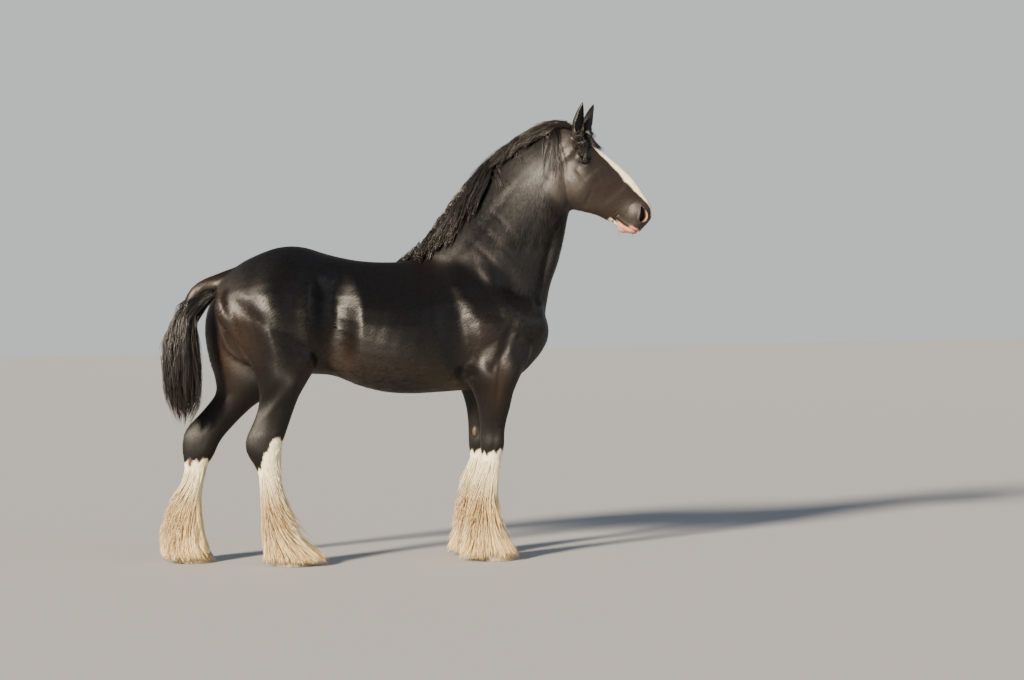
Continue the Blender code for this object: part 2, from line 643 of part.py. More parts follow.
# Outline of each feather: height, front x, back x, half width
FEATHER_HALF = ((0.560, 0.052), (0.450, 0.062), (0.330, 0.080), (0.200, 0.112), (0.090, 0.138), (0.006, 0.150))
FEATHER_FRONT_BACK = {
    "fore_right": ((0.512, 0.372), (0.490, 0.345), (0.503, 0.318), (0.545, 0.292), (0.594, 0.270), (0.630, 0.258)),
    "fore_left": ((0.478, 0.340), (0.456, 0.312), (0.468, 0.286), (0.508, 0.261), (0.558, 0.237), (0.594, 0.224)),
    "hind_right": ((-0.694, -0.866), (-0.688, -0.822), (-0.645, -0.822), (-0.572, -0.822), (-0.462, -0.818), (-0.428, -0.814)),
    "hind_left": ((-1.106, -1.238), (-1.140, -1.264), (-1.152, -1.332), (-1.148, -1.380), (-1.112, -1.396), (-1.062, -1.352)),
}
# Rows of feather: root height, number, width, length, share of the circle left bare in front
FEATHER_ROWS = (
    (0.530, 3, 0.078, 0.20, 0.42),
    (0.445, 4, 0.088, 0.22, 0.26),
    (0.345, 5, 0.104, 0.23, 0.06),
    (0.230, 6, 0.140, 0.25, 0.00),
)
# Outline of the tail: height, inner x, outer x, half width
TAIL_OUTLINE = (
    (1.540, -1.130, -1.190, 0.040),
    (1.440, -1.175, -1.255, 0.055),
    (1.340, -1.175, -1.305, 0.068),
    (1.220, -1.142, -1.350, 0.080),
    (1.000, -1.120, -1.342, 0.086),
    (0.880, -1.122, -1.325, 0.072),
    (0.770, -1.195, -1.270, 0.034),
)
TAIL_LOCKS = 14
MANE_LOCKS = 20
MANE_LENGTH = 0.42
MANE_RISE = 0.030
COMBED_LOCKS = 6
FORELOCK_LOCKS = 6
ROOT_DEPTH = 0.014
# For each form its random draw, and how many triangles its locks keep once they are joined
DRAWS = {
    "mane": (8, 55),
    "forelock": (6, 45),
    "tail": (7, 62),
    "fore_right": (3, 45),
    "fore_left": (5, 45),
    "hind_right": (3, 45),
    "hind_left": (6, 45),
}
SHARP_DEG = 40
# Colour and roughness
FINISHES = {
    "coat": ((0.018, 0.015, 0.014), 0.38),
    "long_hair": ((0.014, 0.012, 0.012), 0.45),
    "feather": ((0.72, 0.60, 0.44), 0.60),
    "horn": ((0.30, 0.25, 0.19), 0.50),
    "eye": ((0.020, 0.012, 0.008), 0.08),
}

# Where each node of the parted body lies, to name the pieces that the cuts leave
ANCHORS = {
    "head": (1.10, -0.12, 2.18),
    "neck": (0.60, 0.00, 1.90),
    "torso": (-0.15, 0.00, 1.35),
    "tail": (-1.18, 0.00, 1.40),
    "upper_fore_right": (0.48, -0.17, 0.78),
    "upper_fore_left": (0.45, 0.17, 0.78),
    "lower_fore_right": (0.47, -0.165, 0.30),
    "lower_fore_left": (0.44, 0.165, 0.30),
    "upper_hind_right": (-0.72, -0.17, 0.90),
    "upper_hind_left": (-0.90, 0.17, 0.90),
    "lower_hind_right": (-0.74, -0.17, 0.30),
    "lower_hind_left": (-1.17, 0.17, 0.30),
}


def unit(vector):
    return np.asarray(vector, float) / np.linalg.norm(vector)


def lock(path, outward, width, thick, home):
    """A flat tapered lock along a path: three sided, with a low ridge turned out, ending in a point."""
    path = np.array(path, float)
    along = np.gradient(path, axis=0)
    shares = np.linspace(0, 1, len(path))
    points = []
    for point, way, out, share in zip(path[:-1], along, outward, shares):
        side = unit(np.cross(way, out))
        up = unit(np.cross(side, way))
        swell = 0.45 + 0.55 * math.sin(math.pi * min(share * 1.6, 0.5)) - 0.40 * share**3
        half, high = width / 2 * swell, thick * swell
        points += [point + side * half - up * high * 0.35, point - side * half - up * high * 0.35, point + up * high * 0.65]
    points.append(path[-1])
    last = len(points) - 1
    faces = [(0, 1, 2), (last - 3, last, last - 2), (last - 2, last, last - 1), (last - 1, last, last - 3)]
    for i in range(len(path) - 2):
        left, right, ridge = 3 * i, 3 * i + 1, 3 * i + 2
        # Split alike above and below, so that a bend doesn't make the two sides cross
        faces += [(right, left + 3, left), (right, right + 3, left + 3)]
        faces += [(right, ridge, ridge + 3), (right, ridge + 3, right + 3)]
        faces += [(ridge, left, left + 3), (ridge, left + 3, ridge + 3)]
    made = add_mesh("lock", points, faces, home)
    face_outward(made)
    return made


def hang(tree, start, heading, drift, length, lift, bend, steps):
    """Points that leave start along heading, turn to drift, and stay lift or more over the skin."""
    point, way = np.array(start, float), unit(heading)
    path, outward = [], []
    for _ in range(steps):
        point = point + way * length / steps
        near, normal, *_ = tree.find_nearest(Vector(point))
        near, normal = np.array(near), np.array(normal)
        if (point - near) @ normal < lift:
            point = near + normal * lift
        path.append(point)
        outward.append(normal)
        way = unit(way * (1 - bend) + unit(drift) * bend)
    return path, outward


def crest_point(share):
    """A point of the crest of the neck, from the withers (0) to the poll (1)."""
    line = np.array([row[:2] for row in NECK])
    place = np.linspace(0, 1, len(line))
    return np.array([np.interp(share, place, line[:, 0]), 0.0, np.interp(share, place, line[:, 1])])


def mane(tree, home):
    """Locks that rise from the crest and fall down its left side in two layers, and some combed to the right."""
    draw = random.Random(DRAWS["mane"][0])
    made = []
    for i in range(MANE_LOCKS):
        layer = i % 2
        crest = crest_point(0.07 + 0.86 * (i + 0.5) / MANE_LOCKS)
        across = 0.010 + 0.018 * layer
        crown = crest + (-0.008, across, MANE_RISE * (0.8 + 0.4 * draw.random()) - 0.010 * layer)
        drift = (-0.30 + 0.35 * draw.random(), 0.08, -1.0)
        length = MANE_LENGTH * (0.70 + 0.40 * draw.random())
        heading = (-0.25 + 0.3 * draw.random(), 0.9, -0.40 - 0.15 * layer)
        path, outward = hang(tree, crown, heading, drift, length, 0.030 - 0.018 * layer, 0.7, 4)
        root = crest + (0.0, across - 0.030, -ROOT_DEPTH)
        path, outward = [root, crown] + path, [np.array([0.0, -1.0, 0.2]), np.array([0.0, -0.2, 1.0])] + outward
        made.append(lock(path, outward, 0.078 * (0.8 + 0.4 * draw.random()), 0.016, home))
    for i in range(COMBED_LOCKS):
        crest = crest_point(0.09 + 0.33 * (i + 0.5) / COMBED_LOCKS)
        crown = crest + (-0.010, -0.020, 0.014)
        drift = (-0.55 + 0.25 * draw.random(), -0.10, -0.9)
        path, outward = hang(tree, crown, (-0.7, -0.8, -0.5), drift, 0.14 + 0.08 * draw.random(), 0.012, 0.5, 3)
        root = crest + (0.0, -0.004, -ROOT_DEPTH)
        path, outward = [root, crown] + path, [np.array([0.0, 0.8, 0.6]), np.array([0.0, -0.3, 1.0])] + outward
        made.append(lock(path, outward, 0.060, 0.014, home))
    return made


def forelock(tree, home):
    """Locks from the poll between the ears, down over the forehead, most of them to the right."""
    draw = random.Random(DRAWS["forelock"][0])
    ahead = unit(head_point(1, 0, 0) - head_point(0, 0, 0))
    off = unit(head_point(0, 1, 0) - head_point(0, 0, 0))
    made = []
    for i in range(FORELOCK_LOCKS):
        spread = (i + 0.5) / FORELOCK_LOCKS * 2 - 1
        root = head_point(-0.006, 0.030, 0.010 * spread)
        crown = head_point(0.018, 0.072 + 0.010 * draw.random(), 0.012 * spread)
        drift = ahead + np.array([0.0, -0.16 + 0.32 * spread, 0.0]) - off * 0.25
        heading = ahead + np.array([0.0, 0.10 * spread, 0.0])
        path, outward = hang(tree, crown, heading, drift, 0.14 + 0.05 * draw.random(), 0.010, 0.5, 4)
        path, outward = [root, crown] + path, [off, off] + outward
        made.append(lock(path, outward, 0.026, 0.011, home))
    return made


def outline_point(outline, z, angle, y, share):
    """A point at a share of the way out to an outline, on the side that the angle gives: 0 in front."""
    rows = np.array(outline)[::-1]
    front, back, half = (np.interp(z, rows[:, 0], rows[:, k]) for k in (1, 2, 3))
    x = (front + back) / 2 + (front - back) / 2 * math.cos(angle) * share
    return np.array([x, y + half * math.sin(angle) * share, z])


def falling_lock(root, outline, angle, y, tip_z, width, share, loosen, steps, home):
    """A lock that leaves its root and falls to reach an outline at loosen of its length."""
    path, outward = [root], []
    for k in range(1, steps + 1):
        t = k / steps
        target = outline_point(outline, root[2] + (tip_z - root[2]) * t, angle, y, share)
        blend = min(1.0, t / loosen)
        point = target.copy()
        point[:2] = root[:2] * (1 - blend) + target[:2] * blend
        path.append(point)
    for _ in path:
        outward.append(np.array([math.cos(angle), math.sin(angle), 0.3]))
    return lock(path, outward, width, 0.020, home)


def tail_locks(home):
    """Locks from all round the dock, which bow out behind it and hang to a loose end."""
    draw = random.Random(DRAWS["tail"][0])
    line = np.array([((row[0] + row[2]) / 2, (row[1] + row[3]) / 2) for row in DOCK[2:]])
    place = np.linspace(0, 1, len(line))
    made = []
    for i in range(TAIL_LOCKS):
        angle = i * 2.4
        down = 0.04 + 0.94 * (i + 0.5) / TAIL_LOCKS
        root = np.array([np.interp(down, place, line[:, 0]), 0.012 * math.sin(angle), np.interp(down, place, line[:, 1])])
        tip_z = TAIL_OUTLINE[-1][0] + 0.36 * (1 - down) + 0.05 * draw.random()
        width = 0.085 * (0.8 + 0.4 * draw.random())
        share = 0.50 + 0.48 * (1 - down)
        made.append(falling_lock(root, TAIL_OUTLINE, angle, 0.0, tip_z, width, share, 0.45, 6, home))
    return made


def feather(tree, leg, home):
    """Rows of locks from below the knee or hock that swing out over the hoof and end over the floor."""
    rows, side, shift = LEGS[leg]
    toe, heel, y = HOOVES["hoof_" + leg]
    outline = [
        (z, front, back, half)
        for (z, half), (front, back) in zip(FEATHER_HALF, FEATHER_FRONT_BACK[leg])
    ]
    level = np.array(rows)[::-1]
    heights = (level[:, 1] + level[:, 3]) / 2
    draw = random.Random(DRAWS[leg][0])
    made = []
    for row_index, (height, count, width, length, bare) in enumerate(FEATHER_ROWS):
        for i in range(count):
            turn = (i + 0.5) / count + (0.5 / count if row_index % 2 and not bare else 0.0)
            angle = math.pi * bare + turn * 2 * math.pi * (1 - bare) + 0.10 * (draw.random() - 0.5)
            z = height + 0.03 * (draw.random() - 0.5)
            middle = np.interp(z, heights, (level[:, 0] + level[:, 2]) / 2) + shift
            way = np.array([math.cos(angle), math.sin(angle), 0.0])
            hit, *_ = tree.ray_cast(Vector((middle, y, z)), Vector(way), 0.2)
            root = np.array(hit) - way * ROOT_DEPTH
            tip_z = max(FLOOR_CLEARANCE * (1 + draw.random()), z - length * (0.9 + 0.25 * draw.random()))
            share = 0.93 + 0.07 * draw.random()
            made.append(falling_lock(root, outline, angle, y, tip_z, width, share, 0.95, 4, home))
    return made


def fused(locks, form):
    """The locks joined into one piece, with fewer triangles where they cross."""
    triangles = DRAWS[form][1] * len(locks)
    made = locks.pop()
    boolean(made, locks, "UNION", "MANIFOLD")
    thin(made, triangles)
    return made


def turned_piece(made):
    """A piece made on the straight neck or head, turned with it."""
    set_points(made, turned(points_of(made)))
    return made


def clear_of(made, neighbours, home):
    """Cuts a node clear of its neighbours by the gap, and drops what this leaves loose."""
    boolean(made, [grown(other, 2 * CUT_GAP, home) for other in neighbours], "DIFFERENCE", "MANIFOLD")
    keep_largest(made)


def body_cutters(home):
    """The thin cuts that part the body, and those that trim the legs level over the hooves."""
    yaw_mid = tuple(turned([(0.90, 0.0, 2.20)])[0][:2])
    made = [
        ribbon(((-0.02, 1.760), (0.48, 1.580), (0.95, 1.370)), -0.6, 0.6, home),
        ribbon(
            ((0.905, 2.56), (0.885, 2.40), (0.845, 2.22), (0.830, 2.10), (0.850, 2.00), (0.905, 1.935), (1.02, 1.86)),
            -0.4, 0.4, home, yaw_deg=HEAD_TURN_DEG, mid=(0.90, 0.0),
        ),
        ribbon(((-1.040, 1.680), (-1.095, 1.44)), -0.07, 0.07, home),
    ]
    for side in (NEAR_SIDE, FAR_SIDE):
        made.append(side_slab((0.42 * side, 1.075), (0.028 * side, 0.885), 0.20, 0.76, 0.0, home))
        made.append(side_slab((0.42 * side, 1.125), (0.004 * side, 0.990), -1.30, -0.38, 0.185, home))
    level = HOOF_TOP_Z + CUT_GAP / 2
    for hoof, (toe, heel, y) in HOOVES.items():
        low_y, high_y = sorted((y * 0.12, y * 2.3))
        front, back = LEG_CUTS[hoof[5:]]
        made.append(ribbon((front, back), low_y, high_y, home))
        made.append(ribbon(((toe + 0.08, level), (heel - 0.08, level)), low_y, high_y, home))
    return made


def eyeball(side, home):
    name = "eye_right" if side == NEAR_SIDE else "eye_left"
    u, v, w = EYE_PLACE
    made = ellipsoid(name, head_point(u, v, w * side), (EYEBALL_RADIUS,) * 3, home)
    set_points(made, turned(points_of(made)))
    return made


def grown(source, extra, home):
    """A copy moved out by the gap, to cut a neighbour clear of a piece."""
    made = bpy.data.objects.new("clearance", source.data.copy())
    home.objects.link(made)
    points = points_of(made)
    normals = np.empty(len(points) * 3)
    made.data.vertex_normals.foreach_get("vector", normals)
    set_points(made, points + normals.reshape(-1, 3) * extra)
    return made


def part_body(body, names, home):
    """Cuts the body and gives each named node the piece that lies round its anchor."""
    boolean(body, body_cutters(home), "DIFFERENCE", "MANIFOLD")
    points = points_of(body)
    parts = loose_parts(body)
    reach = [(points[one].min(axis=0), points[one].max(axis=0)) for one in parts]
    nodes = {}
    for name in names:
        anchor = np.array(ANCHORS[name])
        sizes = [np.prod(high - low) for low, high in reach]
        inside = [i for i, (low, high) in enumerate(reach) if (low < anchor).all() and (anchor < high).all()]
        best = min(inside, key=lambda i: sizes[i])
        piece = bpy.data.objects.new(name, body.data.copy())
        home.objects.link(piece)
        keep_only(piece, parts[best])
        nodes[name] = piece
    bpy.data.objects.remove(body, do_unlink=True)
    return nodes


def finish(made, color, roughness):
    """Gives a piece its own material and smooth shading with its edges kept."""
    made.data.materials.clear()
    made.data.materials.append(make_material(made.name, color, roughness))
    made.data.shade_smooth()
    made.data.set_sharp_from_angle(angle=math.radians(SHARP_DEG))


def finish_of(name):
    if name.startswith("hoof"):
        return FINISHES["horn"]
    if name.startswith("eye"):
        return FINISHES["eye"]
    if name.startswith("lower"):
        return FINISHES["feather"]
    if name in ("neck", "tail"):
        return FINISHES["long_hair"]
    return FINISHES["coat"]


def main():
    clear_scene()
    home = bpy.data.collections.new("shire_horse")
    bpy.context.scene.collection.children.link(home)
    body = body_form(home)
    sculpt(body)
    fine = bpy.data.objects.new("fine_body", body.data.copy())
    home.objects.link(fine)
    thin(body, BODY_TRIANGLES)
    thin(fine, HEAD_DETAIL_TRIANGLES)
    skin = BVHTree.FromPolygons(points_of(body).tolist(), [tuple(face.vertices) for face in body.data.polygons])
    ridges = lids(NEAR_SIDE, home) + lids(FAR_SIDE, home)
    boolean(fine, ridges, "UNION", "MANIFOLD")
    boolean(fine, mouth_cutters(home) + nostril_cutters(home), "DIFFERENCE", "MANIFOLD")
    set_points(body, turned(points_of(body)))
    set_points(fine, turned(points_of(fine)))
    nodes = part_body(fine, ["head"], home)
    nodes.update(part_body(body, [name for name in ANCHORS if name != "head"], home))
    head, neck, torso, tail = (nodes[name] for name in ("head", "neck", "torso", "tail"))
    ears = [ear(side, home) for side in (NEAR_SIDE, FAR_SIDE)]
    eyes = [eyeball(side, home) for side in (NEAR_SIDE, FAR_SIDE)]

    boolean(head, [turned_piece(fused(forelock(skin, home), "forelock"))], "UNION", "MANIFOLD")
    boolean(head, [grown(piece, CUT_GAP, home) for piece in eyes], "DIFFERENCE", "MANIFOLD")
    keep_largest(head)
    for piece in ears:
        boolean(piece, [grown(head, 2 * CUT_GAP, home)], "DIFFERENCE", "MANIFOLD")
        keep_largest(piece)
    boolean(neck, [turned_piece(fused(mane(skin, home), "mane"))], "UNION", "MANIFOLD")
    clear_of(neck, [head, torso] + ears, home)
    boolean(tail, [fused(tail_locks(home), "tail")], "UNION", "MANIFOLD")
    clear_of(tail, [torso, nodes["upper_hind_right"], nodes["upper_hind_left"]], home)
    for leg in LEGS:
        lower = nodes["lower_" + leg]
        hoof = horn_hoof("hoof_" + leg, home)
        boolean(lower, [fused(feather(skin, leg, home), leg)], "UNION", "MANIFOLD")
        clear_of(lower, [hoof, nodes["upper_" + leg]], home)
    for piece in home.objects:
        finish(piece, *finish_of(piece.name))


main()
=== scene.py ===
"""A shire stallion as a still, life-size museum model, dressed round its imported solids.

Metres, +Z up, +X to the head, -Y to its right. Body, coat and long hair are made straight, then the neck and
head are turned a little to the right, as in the solids.
"""

import contextlib
import math

import bmesh
import bpy
import numpy as np
from mathutils import Matrix, Vector
from mathutils.bvhtree import BVHTree


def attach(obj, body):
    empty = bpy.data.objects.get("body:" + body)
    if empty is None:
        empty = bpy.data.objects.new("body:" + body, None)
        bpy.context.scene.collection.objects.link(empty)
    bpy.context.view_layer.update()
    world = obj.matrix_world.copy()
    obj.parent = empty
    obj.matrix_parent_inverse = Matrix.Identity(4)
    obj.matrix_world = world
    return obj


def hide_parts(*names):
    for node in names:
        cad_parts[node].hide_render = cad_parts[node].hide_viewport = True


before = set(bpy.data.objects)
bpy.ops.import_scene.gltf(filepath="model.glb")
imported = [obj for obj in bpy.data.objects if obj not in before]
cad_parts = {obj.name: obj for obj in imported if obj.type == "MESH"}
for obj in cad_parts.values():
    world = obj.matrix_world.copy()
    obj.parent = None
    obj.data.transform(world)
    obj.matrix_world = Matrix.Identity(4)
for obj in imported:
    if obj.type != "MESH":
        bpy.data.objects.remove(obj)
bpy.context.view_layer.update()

# The skin: its grid, rounds of smoothing, and how far it sinks before the muscles rise on it
SKIN_VOXEL = 0.010
SKIN_ROUNDS, EASED_ROUNDS = 9, 60
SKIN_DEPTH = 0.003
# The head: its turn to the right, how steeply the face falls, and x, z of the poll
HEAD_TURN_DEG = 17.0
HEAD_PITCH_DEG = 45.0
POLL = (0.955, 2.350)
# The bend of the neck: x where it starts, its reach and steps, and a line forward and up that it follows
BEND_START_X, BEND_REACH, BEND_STEPS = 0.50, 0.42, 40
BEND_AHEAD, BEND_UP, BEND_FROM, BEND_LENGTH = 0.6, 0.8, 1.55, 0.65
NEAR_SIDE, FAR_SIDE = -1.0, 1.0
BOTH = (NEAR_SIDE, FAR_SIDE)

# Stations: front or top outline x, z; back or bottom outline x, z; mid y; half widths back, middle, front
TORSO = (
    (-1.040, 1.555, -1.035, 1.330, 0.0, 0.12, 0.140, 0.07),
    (-0.955, 1.630, -0.990, 1.200, 0.0, 0.20, 0.245, 0.13),
    (-0.850, 1.697, -0.880, 1.110, 0.0, 0.23, 0.305, 0.18),
    (-0.700, 1.755, -0.720, 1.060, 0.0, 0.24, 0.340, 0.20),
    (-0.560, 1.758, -0.560, 1.045, 0.0, 0.24, 0.340, 0.20),
    (-0.400, 1.708, -0.400, 1.032, 0.0, 0.24, 0.325, 0.18),
    (-0.250, 1.676, -0.250, 0.972, 0.0, 0.26, 0.340, 0.16),
    (-0.100, 1.666, -0.100, 0.934, 0.0, 0.27, 0.352, 0.15),
    (0.050, 1.678, 0.050, 0.924, 0.0, 0.27, 0.350, 0.13),
    (0.160, 1.722, 0.180, 0.928, 0.0, 0.25, 0.335, 0.10),
    (0.300, 1.760, 0.330, 0.936, 0.0, 0.22, 0.325, 0.11),
    (0.450, 1.700, 0.480, 0.950, 0.0, 0.19, 0.315, 0.15),
    (0.620, 1.600, 0.640, 1.010, 0.0, 0.17, 0.285, 0.17),
    (0.740, 1.480, 0.745, 1.110, 0.0, 0.13, 0.225, 0.15),
    (0.795, 1.360, 0.795, 1.190, 0.0, 0.08, 0.150, 0.09),
)
NECK = (
    (0.060, 1.690, 0.790, 1.200, 0.0, 0.20, 0.250, 0.07),
    (0.190, 1.830, 0.808, 1.380, 0.0, 0.17, 0.215, 0.07),
    (0.300, 1.985, 0.833, 1.520, 0.0, 0.14, 0.180, 0.06),
    (0.420, 2.130, 0.878, 1.650, 0.0, 0.12, 0.155, 0.055),
    (0.550, 2.250, 0.908, 1.770, 0.0, 0.11, 0.138, 0.05),
    (0.690, 2.345, 0.926, 1.860, 0.0, 0.10, 0.126, 0.048),
    (0.830, 2.405, 0.950, 1.950, 0.0, 0.085, 0.112, 0.052),
    (0.930, 2.420, 0.990, 2.040, 0.0, 0.07, 0.095, 0.06),
)
# Along the face from the poll: u down the face, v of the forehead line, v of the jaw line, half widths
HEAD = (
    (-0.050, 0.010, -0.160, 0.040, 0.055, 0.040),
    (-0.010, 0.048, -0.230, 0.055, 0.085, 0.060),
    (0.060, 0.058, -0.285, 0.060, 0.100, 0.070),
    (0.130, 0.060, -0.310, 0.060, 0.106, 0.075),
    (0.200, 0.066, -0.310, 0.058, 0.106, 0.068),
    (0.270, 0.073, -0.300, 0.052, 0.096, 0.058),
    (0.340, 0.077, -0.262, 0.046, 0.078, 0.050),
    (0.410, 0.077, -0.222, 0.040, 0.064, 0.044),
    (0.470, 0.069, -0.202, 0.038, 0.058, 0.042),
    (0.530, 0.055, -0.186, 0.042, 0.062, 0.044),
    (0.585, 0.042, -0.178, 0.046, 0.066, 0.048),
    (0.630, 0.014, -0.150, 0.044, 0.060, 0.042),
    (0.652, -0.020, -0.115, 0.026, 0.036, 0.024),
)
FORELEG = (
    (0.700, 1.300, 0.330, 1.260, 0.195, 0.07, 0.100, 0.08),
    (0.690, 1.140, 0.320, 1.090, 0.195, 0.09, 0.110, 0.09),
    (0.625, 1.010, 0.338, 0.990, 0.185, 0.09, 0.108, 0.09),
    (0.592, 0.930, 0.366, 0.920, 0.178, 0.08, 0.096, 0.08),
    (0.573, 0.850, 0.386, 0.850, 0.172, 0.066, 0.082, 0.07),
    (0.552, 0.775, 0.395, 0.775, 0.168, 0.054, 0.068, 0.06),
    (0.540, 0.710, 0.398, 0.710, 0.166, 0.050, 0.062, 0.058),
    (0.537, 0.640, 0.398, 0.640, 0.165, 0.052, 0.068, 0.064),
    (0.524, 0.575, 0.404, 0.572, 0.165, 0.046, 0.060, 0.056),
    (0.506, 0.510, 0.410, 0.505, 0.165, 0.038, 0.046, 0.044),
    (0.498, 0.400, 0.410, 0.395, 0.165, 0.036, 0.043, 0.041),
    (0.498, 0.300, 0.404, 0.285, 0.165, 0.038, 0.045, 0.042),
    (0.508, 0.220, 0.392, 0.200, 0.165, 0.046, 0.056, 0.050),
    (0.526, 0.155, 0.412, 0.128, 0.165, 0.046, 0.052, 0.050),
    (0.552, 0.100, 0.408, 0.088, 0.165, 0.060, 0.078, 0.066),
    (0.574, 0.050, 0.404, 0.045, 0.165, 0.066, 0.086, 0.070),
)
FAR_FORE_SHIFT = -0.030
# Both hind legs from the stifle down: mid y; half widths back, middle, front
HIND_WIDTHS = (
    (0.130, 0.04, 0.080, 0.05), (0.165, 0.08, 0.128, 0.08), (0.180, 0.10, 0.148, 0.09),
    (0.180, 0.10, 0.145, 0.10), (0.175, 0.085, 0.122, 0.095), (0.172, 0.066, 0.100, 0.085),
    (0.170, 0.050, 0.080, 0.072), (0.170, 0.038, 0.062, 0.060), (0.170, 0.034, 0.060, 0.060),
    (0.170, 0.038, 0.060, 0.058), (0.170, 0.038, 0.048, 0.046), (0.170, 0.038, 0.043, 0.042),
    (0.170, 0.038, 0.044, 0.042), (0.170, 0.046, 0.056, 0.050), (0.170, 0.046, 0.052, 0.050),
    (0.170, 0.060, 0.078, 0.066), (0.170, 0.066, 0.086, 0.070),
)
NEAR_HIND = [place + widths for place, widths in zip((
    (-0.560, 1.480, -0.960, 1.560), (-0.500, 1.340, -1.030, 1.480), (-0.480, 1.220, -1.048, 1.390),
    (-0.490, 1.110, -0.995, 1.285), (-0.545, 1.010, -0.915, 1.170), (-0.592, 0.930, -0.845, 1.060),
    (-0.625, 0.850, -0.816, 0.945), (-0.655, 0.765, -0.838, 0.830), (-0.684, 0.680, -0.893, 0.700),
    (-0.700, 0.600, -0.888, 0.620), (-0.712, 0.520, -0.838, 0.530), (-0.708, 0.410, -0.806, 0.405),
    (-0.696, 0.300, -0.792, 0.290), (-0.668, 0.220, -0.786, 0.200), (-0.632, 0.155, -0.744, 0.128),
    (-0.585, 0.100, -0.732, 0.088), (-0.560, 0.050, -0.735, 0.045),
), HIND_WIDTHS)]
FAR_HIND = [place + widths for place, widths in zip((
    (-0.580, 1.480, -0.970, 1.560), (-0.540, 1.350, -1.055, 1.480), (-0.530, 1.240, -1.095, 1.390),
    (-0.575, 1.120, -1.105, 1.270), (-0.655, 1.010, -1.085, 1.140), (-0.750, 0.925, -1.056, 1.035),
    (-0.850, 0.855, -1.052, 0.945), (-0.945, 0.765, -1.120, 0.855), (-1.020, 0.680, -1.220, 0.745),
    (-1.062, 0.595, -1.242, 0.650), (-1.110, 0.510, -1.232, 0.535), (-1.130, 0.410, -1.228, 0.415),
    (-1.134, 0.300, -1.232, 0.300), (-1.126, 0.220, -1.246, 0.205), (-1.118, 0.155, -1.234, 0.128),
    (-1.100, 0.100, -1.250, 0.088), (-1.084, 0.050, -1.258, 0.045),
), HIND_WIDTHS)]
DOCK = (
    (-0.900, 1.660, -0.930, 1.500, 0.0, 0.050, 0.070, 0.050),
    (-1.010, 1.622, -1.030, 1.500, 0.0, 0.040, 0.055, 0.040),
    (-1.100, 1.590, -1.070, 1.500, 0.0, 0.032, 0.045, 0.032),
    (-1.180, 1.530, -1.125, 1.470, 0.0, 0.028, 0.038, 0.028),
    (-1.225, 1.440, -1.160, 1.410, 0.0, 0.024, 0.034, 0.024),
    (-1.245, 1.330, -1.185, 1.310, 0.0, 0.020, 0.030, 0.020),
    (-1.250, 1.220, -1.200, 1.210, 0.0, 0.014, 0.022, 0.014),
)
LEGS = {
    "fore_right": (FORELEG, NEAR_SIDE, 0.0),
    "fore_left": (FORELEG, FAR_SIDE, FAR_FORE_SHIFT),
    "hind_right": (NEAR_HIND, NEAR_SIDE, 0.0),
    "hind_left": (FAR_HIND, FAR_SIDE, 0.0),
}
# Toe x, heel x and y of each hoof
HOOVES = {
    "fore_right": (0.602, 0.387, -0.165),
    "fore_left": (0.570, 0.355, 0.165),
    "hind_right": (-0.525, -0.745, -0.170),
    "hind_left": (-1.056, -1.276, 0.170),
}
HOOF_TOP_Z = 0.088
HOOF_SIDES, HOOF_POWER = 64, 2.2
LEG_MIDDLE_Y = 0.168

